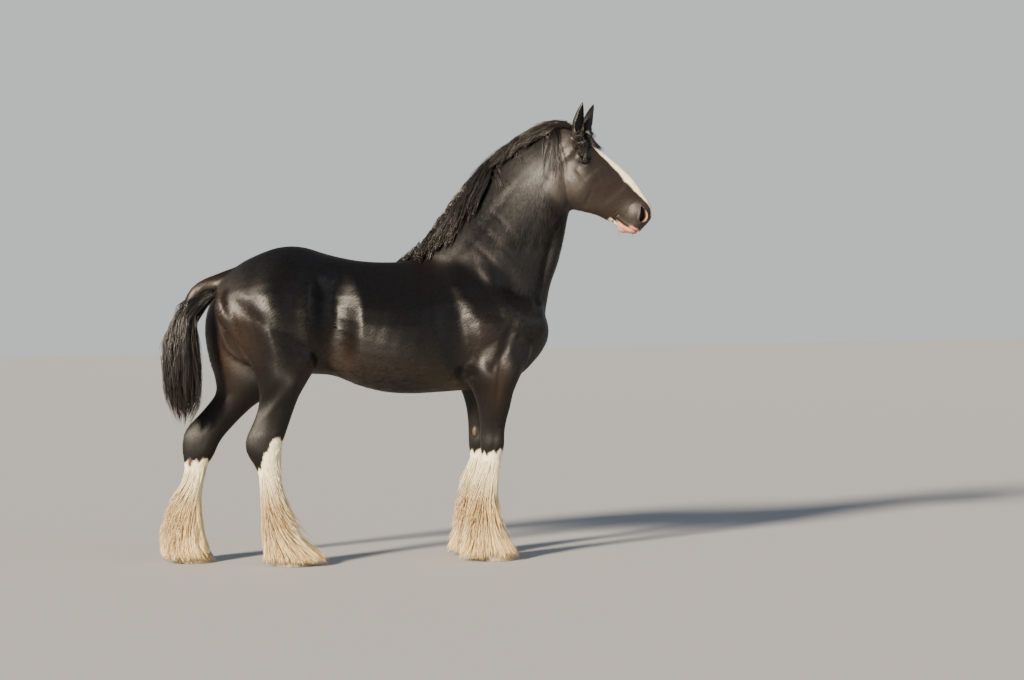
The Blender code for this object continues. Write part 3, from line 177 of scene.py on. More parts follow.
# Muscles and hollows: centre, radii, turn about Y in degrees, height, leg side (0 both, -1 right, 1 left)
MUSCLES = (
    # Breast, shoulder and upper arm
    ((0.690, 0.225, 1.330), (0.110, 0.14, 0.120), 0, 0.012, 0),
    ((0.520, 0.280, 1.480), (0.055, 0.14, 0.230), -28, 0.014, 0),
    ((0.395, 0.290, 1.520), (0.060, 0.14, 0.190), -28, -0.006, 0),
    ((0.610, 0.260, 1.530), (0.045, 0.14, 0.170), -28, -0.006, 0),
    ((0.490, 0.290, 1.310), (0.150, 0.12, 0.150), 30, 0.024, 0),
    ((0.545, 0.270, 1.230), (0.028, 0.12, 0.110), 20, -0.012, 0),
    ((0.270, 0.330, 1.270), (0.085, 0.14, 0.220), -10, -0.022, 0),
    ((0.325, 0.240, 1.040), (0.050, 0.12, 0.030), 10, -0.014, 0),
    ((0.730, 0.110, 1.210), (0.100, 0.09, 0.110), 0, 0.010, 0),
    ((0.810, 0.000, 1.260), (0.080, 0.05, 0.140), 0, -0.014, 0),
    # Forearm
    ((0.575, 0.270, 1.050), (0.050, 0.10, 0.110), 8, 0.017, 0),
    ((0.410, 0.260, 1.040), (0.050, 0.10, 0.080), -12, 0.009, 0),
    ((0.495, 0.260, 0.990), (0.016, 0.10, 0.120), 6, -0.008, 0),
    # Neck
    ((0.780, 0.150, 1.560), (0.026, 0.10, 0.260), 18, -0.014, 0),
    ((0.850, 0.130, 1.640), (0.030, 0.10, 0.230), 15, 0.006, 0),
    ((0.610, 0.170, 1.800), (0.070, 0.10, 0.260), 30, 0.012, 0),
    ((0.480, 0.170, 1.900), (0.030, 0.10, 0.240), 42, -0.010, 0),
    ((0.330, 0.190, 1.780), (0.060, 0.12, 0.200), 40, 0.008, 0),
    ((0.140, 0.180, 1.620), (0.100, 0.14, 0.070), 0, -0.010, 0),
    # Barrel, flank and hip
    ((-0.060, 0.330, 1.330), (0.170, 0.12, 0.220), 0, 0.012, 0),
    ((-0.400, 0.300, 1.370), (0.108, 0.16, 0.330), 3, -0.074, -1),
    ((-0.400, 0.300, 1.370), (0.118, 0.16, 0.330), 3, -0.036, 1),
    ((-0.420, 0.250, 1.600), (0.055, 0.10, 0.050), 0, 0.020, 0),
    ((-0.650, 0.240, 1.620), (0.140, 0.14, 0.110), 0, 0.010, 0),
    ((-0.700, 0.000, 1.760), (0.260, 0.022, 0.060), 0, -0.010, 0),
    # Thigh and buttock
    ((-0.740, 0.310, 1.400), (0.090, 0.12, 0.200), -8, 0.020, 0),
    ((-0.895, 0.280, 1.255), (0.105, 0.14, 0.205), -22, -0.040, 0),
    ((-1.010, 0.200, 1.380), (0.040, 0.14, 0.200), -10, 0.008, 0),
    ((-0.520, 0.290, 1.130), (0.070, 0.12, 0.075), 0, 0.018, -1),
    ((-0.570, 0.290, 1.130), (0.070, 0.12, 0.075), 0, 0.018, 1),
    ((-0.640, 0.260, 1.010), (0.050, 0.10, 0.130), 30, 0.010, -1),
    ((-0.730, 0.230, 0.950), (0.035, 0.10, 0.150), 40, -0.010, -1),
    ((-0.800, 0.240, 0.970), (0.055, 0.10, 0.120), 50, 0.008, 1),
    ((-1.050, 0.000, 1.360), (0.090, 0.04, 0.200), 0, -0.030, 0),
)
# The head's own, as u down the face, v out of the forehead and w from the middle, radii along u, v, w, height
FACE_FORMS = (
    ((0.135, 0.006, 0.085), (0.055, 0.030, 0.05), 0.014),
    ((0.075, 0.020, 0.085), (0.035, 0.032, 0.05), -0.008),
    ((0.163, -0.036, 0.105), (0.040, 0.026, 0.05), -0.004),
    ((0.075, -0.050, 0.095), (0.070, 0.022, 0.05), 0.003),
    ((0.222, -0.208, 0.100), (0.125, 0.100, 0.06), 0.023),
    ((0.270, -0.075, 0.095), (0.120, 0.026, 0.05), 0.0045),
    ((0.285, -0.120, 0.095), (0.100, 0.024, 0.05), -0.003),
    ((0.370, -0.135, 0.070), (0.070, 0.050, 0.05), -0.006),
    ((0.400, -0.020, 0.060), (0.100, 0.030, 0.04), -0.004),
    ((0.588, -0.030, 0.060), (0.050, 0.050, 0.05), 0.010),
    ((0.620, -0.125, 0.040), (0.040, 0.030, 0.05), 0.006),
    ((0.575, -0.190, 0.020), (0.040, 0.030, 0.04), 0.010),
    ((0.510, -0.180, 0.020), (0.030, 0.020, 0.04), -0.006),
    ((0.240, -0.320, 0.000), (0.120, 0.030, 0.035), -0.016),
)
# Ridges and grooves on the sides of the body: x, z points, radius, height, least and full |y|
BODY_STROKES = (
    (((0.92, 1.90), (0.82, 1.70), (0.73, 1.47)), 0.024, -0.007, 0.03, 0.08),
    (((0.40, 1.66), (0.52, 1.58), (0.62, 1.48), (0.70, 1.36)), 0.045, -0.004, 0.12, 0.20),
    (((0.24, 1.50), (0.30, 1.30), (0.36, 1.12)), 0.034, -0.004, 0.15, 0.24),
    (((0.62, 1.24), (0.52, 1.16), (0.46, 1.06)), 0.018, -0.004, 0.12, 0.18),
    (((0.50, 1.34), (0.42, 1.36), (0.36, 1.32)), 0.018, -0.004, 0.15, 0.22),
    (((-0.395, 1.60), (-0.385, 1.46), (-0.390, 1.32), (-0.430, 1.20)), 0.022, -0.004, 0.14, 0.22),
    (((-0.30, 1.05), (-0.40, 1.03), (-0.48, 1.07)), 0.022, 0.006, 0.12, 0.22),
    (((-0.99, 1.47), (-0.97, 1.32), (-0.90, 1.14)), 0.024, -0.004, 0.12, 0.20),
    (((-0.50, 1.68), (-0.58, 1.54), (-0.62, 1.40)), 0.040, -0.004, 0.15, 0.24),
    (((0.14, 1.48), (0.11, 1.28), (0.05, 1.08)), 0.022, -0.0010, 0.20, 0.28),
    (((0.06, 1.50), (0.02, 1.28), (-0.05, 1.08)), 0.022, -0.0010, 0.20, 0.28),
    (((-0.02, 1.50), (-0.07, 1.28), (-0.14, 1.10)), 0.022, -0.0010, 0.20, 0.28),
    (((-0.10, 1.50), (-0.15, 1.30), (-0.21, 1.14)), 0.022, -0.0010, 0.20, 0.28),
    (((0.28, 1.86), (0.42, 1.72), (0.52, 1.60)), 0.016, -0.0012, 0.10, 0.16),
    (((0.36, 1.94), (0.52, 1.77), (0.62, 1.64)), 0.014, -0.0012, 0.10, 0.16),
    (((0.46, 2.00), (0.60, 1.83), (0.69, 1.70)), 0.014, -0.0012, 0.10, 0.16),
)
# Ridges and grooves on the legs: leg, x, z points, radius, height
LEG_STROKES = (
    ("fore", ((0.475, 0.78), (0.480, 0.70), (0.465, 0.62)), 0.014, -0.003),
    ("fore", ((0.515, 0.72), (0.520, 0.66), (0.512, 0.60)), 0.014, 0.003),
    ("fore", ((0.445, 0.52), (0.445, 0.36), (0.440, 0.24)), 0.010, -0.004),
    ("hind", ((-0.775, 0.94), (-0.800, 0.82), (-0.815, 0.75)), 0.026, -0.003),
    ("hind", ((-0.735, 0.72), (-0.750, 0.66), (-0.765, 0.60)), 0.022, 0.002),
    ("hind", ((-0.700, 0.84), (-0.715, 0.76), (-0.720, 0.68)), 0.018, 0.002),
    ("hind", ((-0.770, 0.52), (-0.765, 0.38), (-0.755, 0.24)), 0.010, -0.004),
)
# On the face, as u, v points, radius, height, least and full |w|
FACE_STROKES = (
    (((0.17, -0.100), (0.25, -0.112), (0.33, -0.135), (0.39, -0.160)), 0.016, -0.0030, 0.04, 0.06),
    (((0.24, -0.045), (0.30, -0.065), (0.35, -0.105), (0.40, -0.120)), 0.010, -0.0009, 0.03, 0.05),
    (((0.35, -0.240), (0.325, -0.190), (0.315, -0.140)), 0.012, -0.004, 0.03, 0.05),
    (((0.08, -0.235), (0.05, -0.160), (0.04, -0.090)), 0.022, -0.003, 0.03, 0.05),
    (((0.515, -0.168), (0.498, -0.150), (0.502, -0.126)), 0.006, -0.0020, 0.02, 0.035),
    (((0.496, -0.172), (0.480, -0.150), (0.486, -0.122)), 0.006, -0.0014, 0.02, 0.035),
)
EYE_PLACE = (0.163, -0.036, 0.0845)
EYE_RADIUS = 0.0235
EYE_TILT_DEG = 10.0
LID_THICK = 0.0026
# Half length of the opening, and its arches above and below
EYE_OPENING = (0.0240, 0.0140, 0.0100)
NOSTRIL_PLACE = (0.597, -0.030, 0.050)
NOSTRIL_OPENING = (0.040, 0.0200)
NOSTRIL_DEPTH = 0.026
HAIRLESS_RIM = 0.0015
MOUTH_LINE = ((0.500, -0.152), (0.560, -0.147), (0.605, -0.136), (0.640, -0.124), (0.662, -0.116))
# Across the line of the mouth: middle, reach and height of the slit, the upper lip and the lower lip
MOUTH_FOLDS = ((0.0, 0.0030, -0.0075), (0.012, 0.009, 0.0035), (-0.013, 0.010, 0.0045))
# How far round an eye or nostril the skin is shaped
FEATURE_REACH = 0.075
EAR_BASE = {NEAR_SIDE: (1.002, 0.056, 2.345), FAR_SIDE: (1.036, 0.052, 2.345)}
EAR_TIP = {NEAR_SIDE: (1.036, 0.074, 2.532), FAR_SIDE: (1.076, 0.072, 2.530)}
EAR_ROOT_SLOPE = 0.11
EAR_FOOT_UP, EAR_FOOT_REACH, EAR_FOOT_ROUNDS = 0.028, 0.056, 16
# Where the head ends and the neck begins, z to x, and where the neck ends and the torso begins, x to z
JAW_LINE = ((1.86, 1.020), (1.935, 0.905), (2.00, 0.850), (2.10, 0.830), (2.22, 0.845), (2.40, 0.885),
            (2.56, 0.905))
SHOULDER_LINE = ((-0.02, 1.760), (0.48, 1.580), (0.95, 1.370))
POLL_LINE = ((0.90, 2.45), (0.96, 2.39))


def smoothstep(value, low, high):
    t = np.clip((np.asarray(value, float) - low) / (high - low), 0, 1)
    return t * t * (3 - 2 * t)


def bell(value, middle, reach):
    """1 at the middle, fading to 0 on both sides of it."""
    return np.exp(-(((value - middle) / reach) ** 2))


def unit(vectors):
    vectors = np.asarray(vectors, float)
    return vectors / np.maximum(np.linalg.norm(vectors, axis=-1, keepdims=True), 1e-9)


def head_point(u, v, w):
    """A point of the straight head: u down the face from the poll, v out of the forehead, w to the left."""
    pitch = math.radians(HEAD_PITCH_DEG)
    x = POLL[0] + u * math.cos(pitch) + v * math.sin(pitch)
    z = POLL[1] - u * math.sin(pitch) + v * math.cos(pitch)
    return np.array([x, w, z])


def face_place(points):
    """u, v and w of points of the straight head."""
    pitch = math.radians(HEAD_PITCH_DEG)
    x, z = points[:, 0] - POLL[0], points[:, 2] - POLL[1]
    return x * math.cos(pitch) - z * math.sin(pitch), x * math.sin(pitch) + z * math.cos(pitch), points[:, 1]


FACE_DOWN = unit(head_point(1, 0, 0) - head_point(0, 0, 0))
FACE_OUT = unit(head_point(0, 1, 0) - head_point(0, 0, 0))


def turned(points):
    """Turns the neck and head to the right, bending smoothly from the neck's base to behind the jaw."""
    points = np.array(points, float)
    share = np.linspace(0, 1, BEND_STEPS + 1)
    yaw = math.radians(HEAD_TURN_DEG) * share * share * (3 - 2 * share)
    step = BEND_REACH / BEND_STEPS
    mid_x = BEND_START_X + np.concatenate([[0], np.cumsum(np.cos(yaw[:-1]) * step)])
    mid_y = -np.concatenate([[0], np.cumsum(np.sin(yaw[:-1]) * step)])
    place = BEND_AHEAD * points[:, 0] + BEND_UP * points[:, 2]
    along = np.clip((place - BEND_FROM) / BEND_LENGTH, 0, 1)
    angle = np.interp(along, share, yaw)
    x = points[:, 0] - (BEND_START_X + BEND_REACH * along)
    y = points[:, 1]
    found = points.copy()
    found[:, 0] = np.interp(along, share, mid_x) + x * np.cos(angle) + y * np.sin(angle)
    found[:, 1] = np.interp(along, share, mid_y) - x * np.sin(angle) + y * np.cos(angle)
    return found


def past_jaw(points):
    """How far each point lies ahead of the line where the head ends."""
    z, x = np.array(JAW_LINE).T
    return points[:, 0] - np.interp(points[:, 2], z, x)


def over_shoulder(points):
    """How far each point lies over the line where the neck ends."""
    x, z = np.array(SHOULDER_LINE).T
    return points[:, 2] - np.interp(points[:, 0], x, z)


def leg_middle(leg, z):
    """x of the middle of a leg's stations at each height, before its shift."""
    level = np.array(LEGS[leg][0])[::-1]
    return np.interp(z, (level[:, 1] + level[:, 3]) / 2, (level[:, 0] + level[:, 2]) / 2)


def points_of(made):
    found = np.empty(len(made.data.vertices) * 3)
    made.data.vertices.foreach_get("co", found)
    return found.reshape(-1, 3)


def normals_of(made):
    found = np.empty(len(made.data.vertices) * 3)
    made.data.vertex_normals.foreach_get("vector", found)
    return found.reshape(-1, 3)


def set_points(made, points):
    made.data.vertices.foreach_set("co", np.asarray(points, float).ravel())
    made.data.update()


def object_of(name, data):
    made = bpy.data.objects.new(name, data)
    bpy.context.scene.collection.objects.link(made)
    return made


@contextlib.contextmanager
def opened(mesh):
    """A mesh to edit, written back afterwards."""
    shape = bmesh.new()
    shape.from_mesh(mesh)
    yield shape
    shape.to_mesh(mesh)
    shape.free()


def mesh_of(name, points, faces):
    """A mesh object from arrays; faces is a list, or an array of triangles."""
    mesh = bpy.data.meshes.new(name)
    if isinstance(faces, np.ndarray):
        mesh.vertices.add(len(points))
        mesh.vertices.foreach_set("co", np.asarray(points, np.float32).ravel())
        mesh.loops.add(faces.size)
        mesh.loops.foreach_set("vertex_index", faces.ravel().astype(np.int32))
        mesh.polygons.add(len(faces))
        mesh.polygons.foreach_set("loop_start", np.arange(0, faces.size, faces.shape[1], dtype=np.int32))
        mesh.update(calc_edges=True)
    else:
        mesh.from_pydata([tuple(p) for p in points], [], [tuple(f) for f in faces])
        mesh.update()
    return object_of(name, mesh)


def apply_modifiers(made):
    graph = bpy.context.evaluated_depsgraph_get()
    mesh = bpy.data.meshes.new_from_object(made.evaluated_get(graph))
    made.modifiers.clear()
    made.data = mesh


def boolean(made, other, operation, solver="MANIFOLD"):
    tool = made.modifiers.new("tool", "BOOLEAN")
    tool.operation = operation
    tool.object = other
    tool.solver = solver
    apply_modifiers(made)
    bpy.data.objects.remove(other, do_unlink=True)


def smooth_rows(rows, steps):
    """Catmull-Rom rows between the stations, so that a few of them make a smooth loft."""
    rows = np.array(rows, float)
    padded = np.vstack([2 * rows[0] - rows[1], rows, 2 * rows[-1] - rows[-2]])
    found = []
    for i in range(len(rows) - 1):
        a, b, c, d = padded[i : i + 4]
        for k in range(steps):
            t = k / steps
            square, cube = t * t, t**3
            found.append(0.5 * (
                2 * b + (c - a) * t + (2 * a - 5 * b + 4 * c - d) * square + (3 * b - a - 3 * c + d) * cube
            ))
    found.append(rows[-1])
    return np.array(found)


def ring(row, sides, power):
    """One closed section: an egg between two outline points whose half width changes along its height."""
    ax, az, bx, bz, y, back, middle, front = row
    angle = np.arange(sides) * 2 * math.pi / sides
    c, s = np.cos(angle), np.sin(angle)
    h = np.sign(s) * np.abs(s) ** (2 / power)
    across = np.sign(c) * np.abs(c) ** (2 / power)
    width = middle + (front - back) / 2 * h + ((front + back) / 2 - middle) * h * h
    x, z = ((a + b) / 2 + (a - b) / 2 * h for a, b in ((ax, bx), (az, bz)))
    return np.stack([x, y + width * across, z], 1)


def loft(name, rings):
    """A closed tube through the rings, with a fan at each end, facing out."""
    count, sides = len(rings), len(rings[0])
    points = [p for one in rings for p in one]
    first, last = len(points), len(points) + 1
    points += [np.mean(rings[0], axis=0), np.mean(rings[-1], axis=0)]
    faces = []
    for i in range(count - 1):
        for k in range(sides):
            a, b = i * sides + k, i * sides + (k + 1) % sides
            faces.append((a, b, b + sides, a + sides))
    for k in range(sides):
        faces.append((first, (k + 1) % sides, k))
        faces.append((last, (count - 1) * sides + k, (count - 1) * sides + (k + 1) % sides))
    made = mesh_of(name, points, faces)
    with opened(made.data) as shape:
        bmesh.ops.recalc_face_normals(shape, faces=shape.faces)
    return made


def station_loft(name, rows, sides=32, steps=5, power=2.4, side=1.0, shift=0.0):
    rings = []
    for row in smooth_rows(rows, steps):
        row = row.copy()
        row[[0, 2]] += shift
        row[4] *= side
        rings.append(ring(row, sides, power))
    return loft(name, rings)


def head_rows():
    rows = []
    for u, top, bottom, low, middle, high in HEAD:
        a, b = head_point(u, top, 0), head_point(u, bottom, 0)
        rows.append((a[0], a[2], b[0], b[2], 0.0, low, middle, high))
    return rows


def join(name, pieces):
    shape = bmesh.new()
    for piece in pieces:
        shape.from_mesh(piece.data)
        bpy.data.objects.remove(piece, do_unlink=True)
    mesh = bpy.data.meshes.new(name)
    shape.to_mesh(mesh)
    shape.free()
    return object_of(name, mesh)


def smoothing(made, rounds):
    smooth = made.modifiers.new("smooth", "SMOOTH")
    smooth.factor = 0.5
    smooth.iterations = rounds
    return smooth


def fused_body():
    """The whole body without ears, fused, smoothed and eased at shoulder and poll, still straight."""
    pieces = [
        station_loft("torso_form", TORSO, power=2.3),
        station_loft("neck_form", NECK, power=2.3),
        station_loft("head_form", head_rows(), power=2.5),
        station_loft("dock_form", DOCK),
    ]
    for leg, (rows, side, shift) in LEGS.items():
        pieces.append(station_loft(leg + "_form", rows, side=side, shift=shift))
    body = join("skin", pieces)
    remesh = body.modifiers.new("fuse", "REMESH")
    remesh.mode = "VOXEL"
    remesh.voxel_size = SKIN_VOXEL
    smoothing(body, SKIN_ROUNDS)
    apply_modifiers(body)
    eased = body.vertex_groups.new(name="eased")
    points = points_of(body)
    shoulder, poll = (line_gap(points[:, [0, 2]], line) for line in (SHOULDER_LINE, POLL_LINE))
    share = np.maximum(smoothstep(-shoulder, -0.16, -0.06), smoothstep(-poll, -0.11, -0.05))
    for level in np.unique(np.round(share * 10)):
        chosen = np.flatnonzero(np.round(share * 10) == level)
        eased.add(chosen.tolist(), level / 10, "REPLACE")
    smoothing(body, EASED_ROUNDS).vertex_group = eased.name
    apply_modifiers(body)
    return body


def press(points, normals, centre, radii, turn_deg, height):
    """Raises or sinks the surface inside an ellipsoid, fading to nothing at its rim."""
    turn = math.radians(turn_deg)
    d = points - np.array(centre)
    x = d[:, 0] * math.cos(turn) - d[:, 2] * math.sin(turn)
    z = d[:, 0] * math.sin(turn) + d[:, 2] * math.cos(turn)
    reach = (x / radii[0]) ** 2 + (d[:, 1] / radii[1]) ** 2 + (z / radii[2]) ** 2
    return normals * (height * np.clip(1 - reach / 2.2, 0, 1) ** 2)[:, None]


def line_gap(places, line):
    """Distance in a plane from places (n, 2) to a line through the points."""
    line = np.array(line, float)
    best = np.full(len(places), np.inf)
    for a, b in zip(line[:-1], line[1:]):
        way = b - a
        t = np.clip(((places - a) @ way) / (way @ way), 0, 1)
        best = np.minimum(best, np.linalg.norm(places - a - t[:, None] * way, axis=1))
    return best


def by_line(places, line, radius):
    """1 on a line, fading to 0 away from it."""
    return bell(line_gap(places, line), 0.0, radius)


def sculpt_body(body):
    """Muscles, hollows, ridges and grooves of the body and legs."""
    points, normals = points_of(body), normals_of(body)
    moved = -normals * SKIN_DEPTH
    for centre, radii, turn_deg, height, leg_side in MUSCLES:
        for side in BOTH if centre[1] else (FAR_SIDE,):
            if leg_side in (0, side):
                place = (centre[0], centre[1] * side, centre[2])
                moved += press(points, normals, place, radii, turn_deg, height)
    for (u, v, w), (long, deep, wide), height in FACE_FORMS:
        for side in BOTH if w else (FAR_SIDE,):
            place = head_point(u, v, w * side)
            moved += press(points, normals, place, (long, wide, deep), -HEAD_PITCH_DEG, height)
    side_view = points[:, [0, 2]]
    for line, radius, height, least, full in BODY_STROKES:
        fade = smoothstep(np.abs(points[:, 1]), least, full) * by_line(side_view, line, radius)
        moved += normals * (height * fade)[:, None]
    for kind, line, radius, height in LEG_STROKES:
        for leg, (_, side, _) in LEGS.items():
            if not leg.startswith(kind):
                continue
            offset = np.array([leg_shift(leg, z) for _, z in line])
            path = np.array(line) + np.stack([offset, np.zeros(len(line))], 1)
            fade = by_line(side_view, path, radius) * (points[:, 1] * side > 0)
            fade *= smoothstep(np.abs(normals[:, 1]), 0.5, 0.8)
            moved += normals * (height * fade)[:, None]
    moved += normals * (0.005 * chestnut_share(points))[:, None]
    set_points(body, points + moved)


# Horny chestnuts on the inner sides of the legs: x, y, z
CHESTNUTS = ((0.428, -0.105, 0.700), (0.398, 0.105, 0.700), (-0.850, -0.118, 0.590), (-1.200, 0.118, 0.560))
CHESTNUT_SIZE = (0.012, 0.030, 0.026)


def chestnut_share(points):
    share = np.zeros(len(points))
    for place in CHESTNUTS:
        gap = np.linalg.norm((points - np.array(place)) / np.array(CHESTNUT_SIZE), axis=1)
        share = np.maximum(share, 1 - smoothstep(gap, 0.75, 1.15))
    return share


def leg_shift(leg, z):
    """How far a leg's middle at a height lies ahead of the right leg's of its pair."""
    return leg_middle(leg, z) - leg_middle(leg.split("_")[0] + "_right", z) + LEGS[leg][2]


def soften(shape, near, rounds):
    for _ in range(rounds):
        bmesh.ops.smooth_vert(
            shape, verts=near, factor=0.5, use_axis_x=True, use_axis_y=True, use_axis_z=True
        )


def refine(made, inside, rounds=2):
    """Splits the faces where inside(points) holds, and smooths the new points."""
    held = inside(points_of(made))
    with opened(made.data) as shape:
        shape.verts.ensure_lookup_table()
        edges = [e for e in shape.edges if held[e.verts[0].index] and held[e.verts[1].index]]
        bmesh.ops.subdivide_edges(shape, edges=edges, cuts=1, use_grid_fill=True)
        bmesh.ops.triangulate(shape, faces=[f for f in shape.faces if len(f.verts) > 4])
        held = inside(np.array([v.co[:] for v in shape.verts]))
        soften(shape, [v for v, h in zip(shape.verts, held) if h], rounds)


def eye_frame(side):
    """Centre of an eyeball, and its axes: along the opening to the front, up, and out."""
    u, v, w = EYE_PLACE
    out = unit([0.16, side, 0.06])
    tilt = math.radians(EYE_TILT_DEG)
    ahead = np.array([math.cos(tilt), 0.0, -math.sin(tilt)])
    ahead = unit(ahead - out * (ahead @ out))
    up = np.cross(ahead, out) * -side
    up = up if up[2] > 0 else -up
    return head_point(u, v, w * side), ahead, up, out


def eye_gap(ahead, up):
    """Below 0 inside the opening of the lids, and about the distance from it outside."""
    half, high, low = EYE_OPENING
    share = np.clip(np.abs(ahead) / half, 0, 1)
    arch = (1 - share**2) ** 0.8
    edge = np.maximum(up - high * arch, -low * arch - up)
    past = np.maximum(np.abs(ahead) - half, 0)
    return np.where(past > 0, np.hypot(past, up), edge)


def offsets(points, frame_there):
    """Distance of points from the centre of a frame, and their places along its first two axes."""
    centre, first, second, _ = frame_there
    d = points - centre
    return np.linalg.norm(d, axis=1), d @ first, d @ second


def nostril_frame(side):
    u, v, w = NOSTRIL_PLACE
    out = unit(FACE_DOWN * 0.62 + FACE_OUT * 0.10 + np.array([0, side * 0.80, 0]))
    along = unit(FACE_DOWN * 0.68 - FACE_OUT * 0.73)
    along = unit(along - out * (along @ out))
    return head_point(u, v, w * side), along, unit(np.cross(out, along)) * side, out


def nostril_gap(along, across):
    """Below 0 inside a nostril: a comma, wide below, that curls back at its top."""
    half, wide = NOSTRIL_OPENING
    share = np.clip(along / half, -1, 1)
    middle = 0.008 * share**2 - 0.004
    width = wide * (1.0 + 0.35 * share) * np.sqrt(np.clip(1 - share**2, 0, 1))
    past = np.maximum(np.abs(along) - half, 0)
    return np.hypot(np.maximum(np.abs(across - middle) - width, 0), past) - np.where(
        past > 0, 0, np.maximum(width - np.abs(across - middle), 0)
    )


def sculpt_head(skin):
    """Fine ridges, lids, nostrils, lips and folds of the head."""
    points, normals = points_of(skin), normals_of(skin)
    u, v, w = face_place(points)
    on_face = smoothstep(u, -0.06, 0.0) * (v > -0.42)
    moved = np.zeros_like(points)
    for line, radius, height, least, full in FACE_STROKES:
        fade = on_face * smoothstep(np.abs(w), least, full)
        fade *= by_line(np.stack([u, v], 1), line, radius)
        moved += normals * (height * fade)[:, None]
    mouth = np.array(MOUTH_LINE)
    gap = v - np.interp(u, mouth[:, 0], mouth[:, 1])
    in_mouth = smoothstep(u, 0.500, 0.525) * on_face
    for middle, reach, height in MOUTH_FOLDS:
        moved += normals * (height * in_mouth * bell(gap, middle, reach))[:, None]
    points = points + moved
    for side in BOTH:
        centre, along, across, out = nostril_frame(side)
        d = points - centre
        near = (np.linalg.norm(d, axis=1) < FEATURE_REACH) & (points[:, 1] * side > 0.004)
        gap = nostril_gap(d[near] @ along, d[near] @ across)
        rim = 0.0045 * bell(gap, 0.004, 0.0055)
        sink = NOSTRIL_DEPTH * smoothstep(-gap, -0.0008, 0.0075)
        points[near] += out * (rim - sink)[:, None]
    for side in BOTH:
        centre, ahead, up, out = eye_frame(side)
        d = points - centre
        near = (np.linalg.norm(d, axis=1) < FEATURE_REACH) & (d @ out > -0.02)
        a, b, depth = d[near] @ ahead, d[near] @ up, d[near] @ out
        gap = eye_gap(a, b)
        ball = np.sqrt(np.maximum((EYE_RADIUS + LID_THICK) ** 2 - a * a - b * b, 0.0))
        hug = np.exp(-((np.maximum(gap, 0) / 0.0095) ** 2))
        over = np.where(gap > 0, depth + (np.maximum(ball, depth) - depth) * hug, depth)
        crease = -0.0022 * bell(gap, 0.0085, 0.0022) * smoothstep(b, -0.002, 0.006)
        fold = 0.0022 * bell(gap, 0.0130, 0.0035) * smoothstep(b, 0.0, 0.008)
        bag = 0.0016 * bell(gap, 0.0100, 0.0035) * smoothstep(-b, 0.0, 0.006)
        inner = np.sqrt(np.maximum(EYE_RADIUS**2 - a * a - b * b, 0.0)) - 0.008
        share = smoothstep(-gap, -0.0006, 0.0016)
        wanted = (over + crease + fold + bag) * (1 - share) + inner * share
        points[near] += out * (wanted - depth)[:, None]
    set_points(skin, points)


def ear(side):
    """A cupped ear: a tapered leaf hollowed from the front and outer side."""
    base, tip = np.array(EAR_BASE[side]), np.array(EAR_TIP[side])
    base[1] *= side
    tip[1] *= side
    # Share of the length, half depth front to back, half width, cup's half depth and half width
    shape = (
        (-0.42, 0.030, 0.030, 0.008, 0.006),
        (-0.12, 0.038, 0.036, 0.008, 0.006),
        (0.00, 0.037, 0.036, 0.014, 0.012),
        (0.16, 0.037, 0.036, 0.031, 0.030),
        (0.36, 0.036, 0.034, 0.033, 0.031),
        (0.58, 0.029, 0.027, 0.026, 0.024),
        (0.80, 0.018, 0.016, 0.015, 0.013),
        (0.94, 0.008, 0.007, 0.004, 0.004),
        (1.00, 0.002, 0.002, 0.001, 0.001),
    )
    opening = np.array([0.75, 0.66 * side, 0.0])
    across = np.array([-opening[1], opening[0], 0.0])
    angle = np.arange(40) * 2 * math.pi / 40
    outer, cup = [], []
    for share, depth, width, cup_depth, cup_width in smooth_rows(shape, 5):
        middle = base + (tip - base) * share - opening * 0.012 * math.sin(math.pi * max(share, 0.0))
        middle[1] -= side * EAR_ROOT_SLOPE * max(0.10 - share, 0.0)
        for rings, deep, wide, ahead in ((outer, depth, width, 0.0), (cup, cup_depth, cup_width, 0.011)):
            centre = middle + opening * ahead
            rings.append(
                centre + np.outer(np.cos(angle) * deep, opening) + np.outer(np.sin(angle) * wide, across)
            )
    leaf = loft("leaf", outer)
    boolean(leaf, loft("cup", cup[11:]), "DIFFERENCE", "EXACT")
    return leaf


def make_skin():
    """The one skin of the model, still straight, with ears."""
    body = fused_body()
    sculpt_body(body)

    def on_head(points):
        return past_jaw(points) > -0.02

    def near_features(points):
        u, v, w = face_place(points)
        eye_u, eye_v, _ = EYE_PLACE
        eyes = (np.abs(u - eye_u) < 0.055) & (np.abs(v - eye_v) < 0.055) & (np.abs(w) > 0.045)
        muzzle = (u > 0.475) & (v > -0.24)
        return on_head(points) & (eyes | muzzle)

    def finest(points):
        found = np.zeros(len(points), bool)
        for side in BOTH:
            for place, reach in ((eye_frame(side), 0.036), (nostril_frame(side), 0.050)):
                far, *_ = offsets(points, place)
                found |= (far < reach) & (points[:, 1] * side > 0.004)
        return found & on_head(points)

    refine(body, on_head)
    refine(body, near_features, 1)
    refine(body, finest, 1)
    sculpt_head(body)
    for side in BOTH:
        boolean(body, ear(side), "UNION")
    blend_ears(body)
    return body


def blend_ears(body):
    """Smooths the seam where the ears leave the head."""
    with opened(body.data) as shape:
        near = []
        for side in BOTH:
            x, y, z = EAR_BASE[side]
            base = Vector((x, y * side, z + EAR_FOOT_UP))
            near += [v for v in shape.verts if (v.co - base).length < EAR_FOOT_REACH]
        soften(shape, near, EAR_FOOT_ROUNDS)


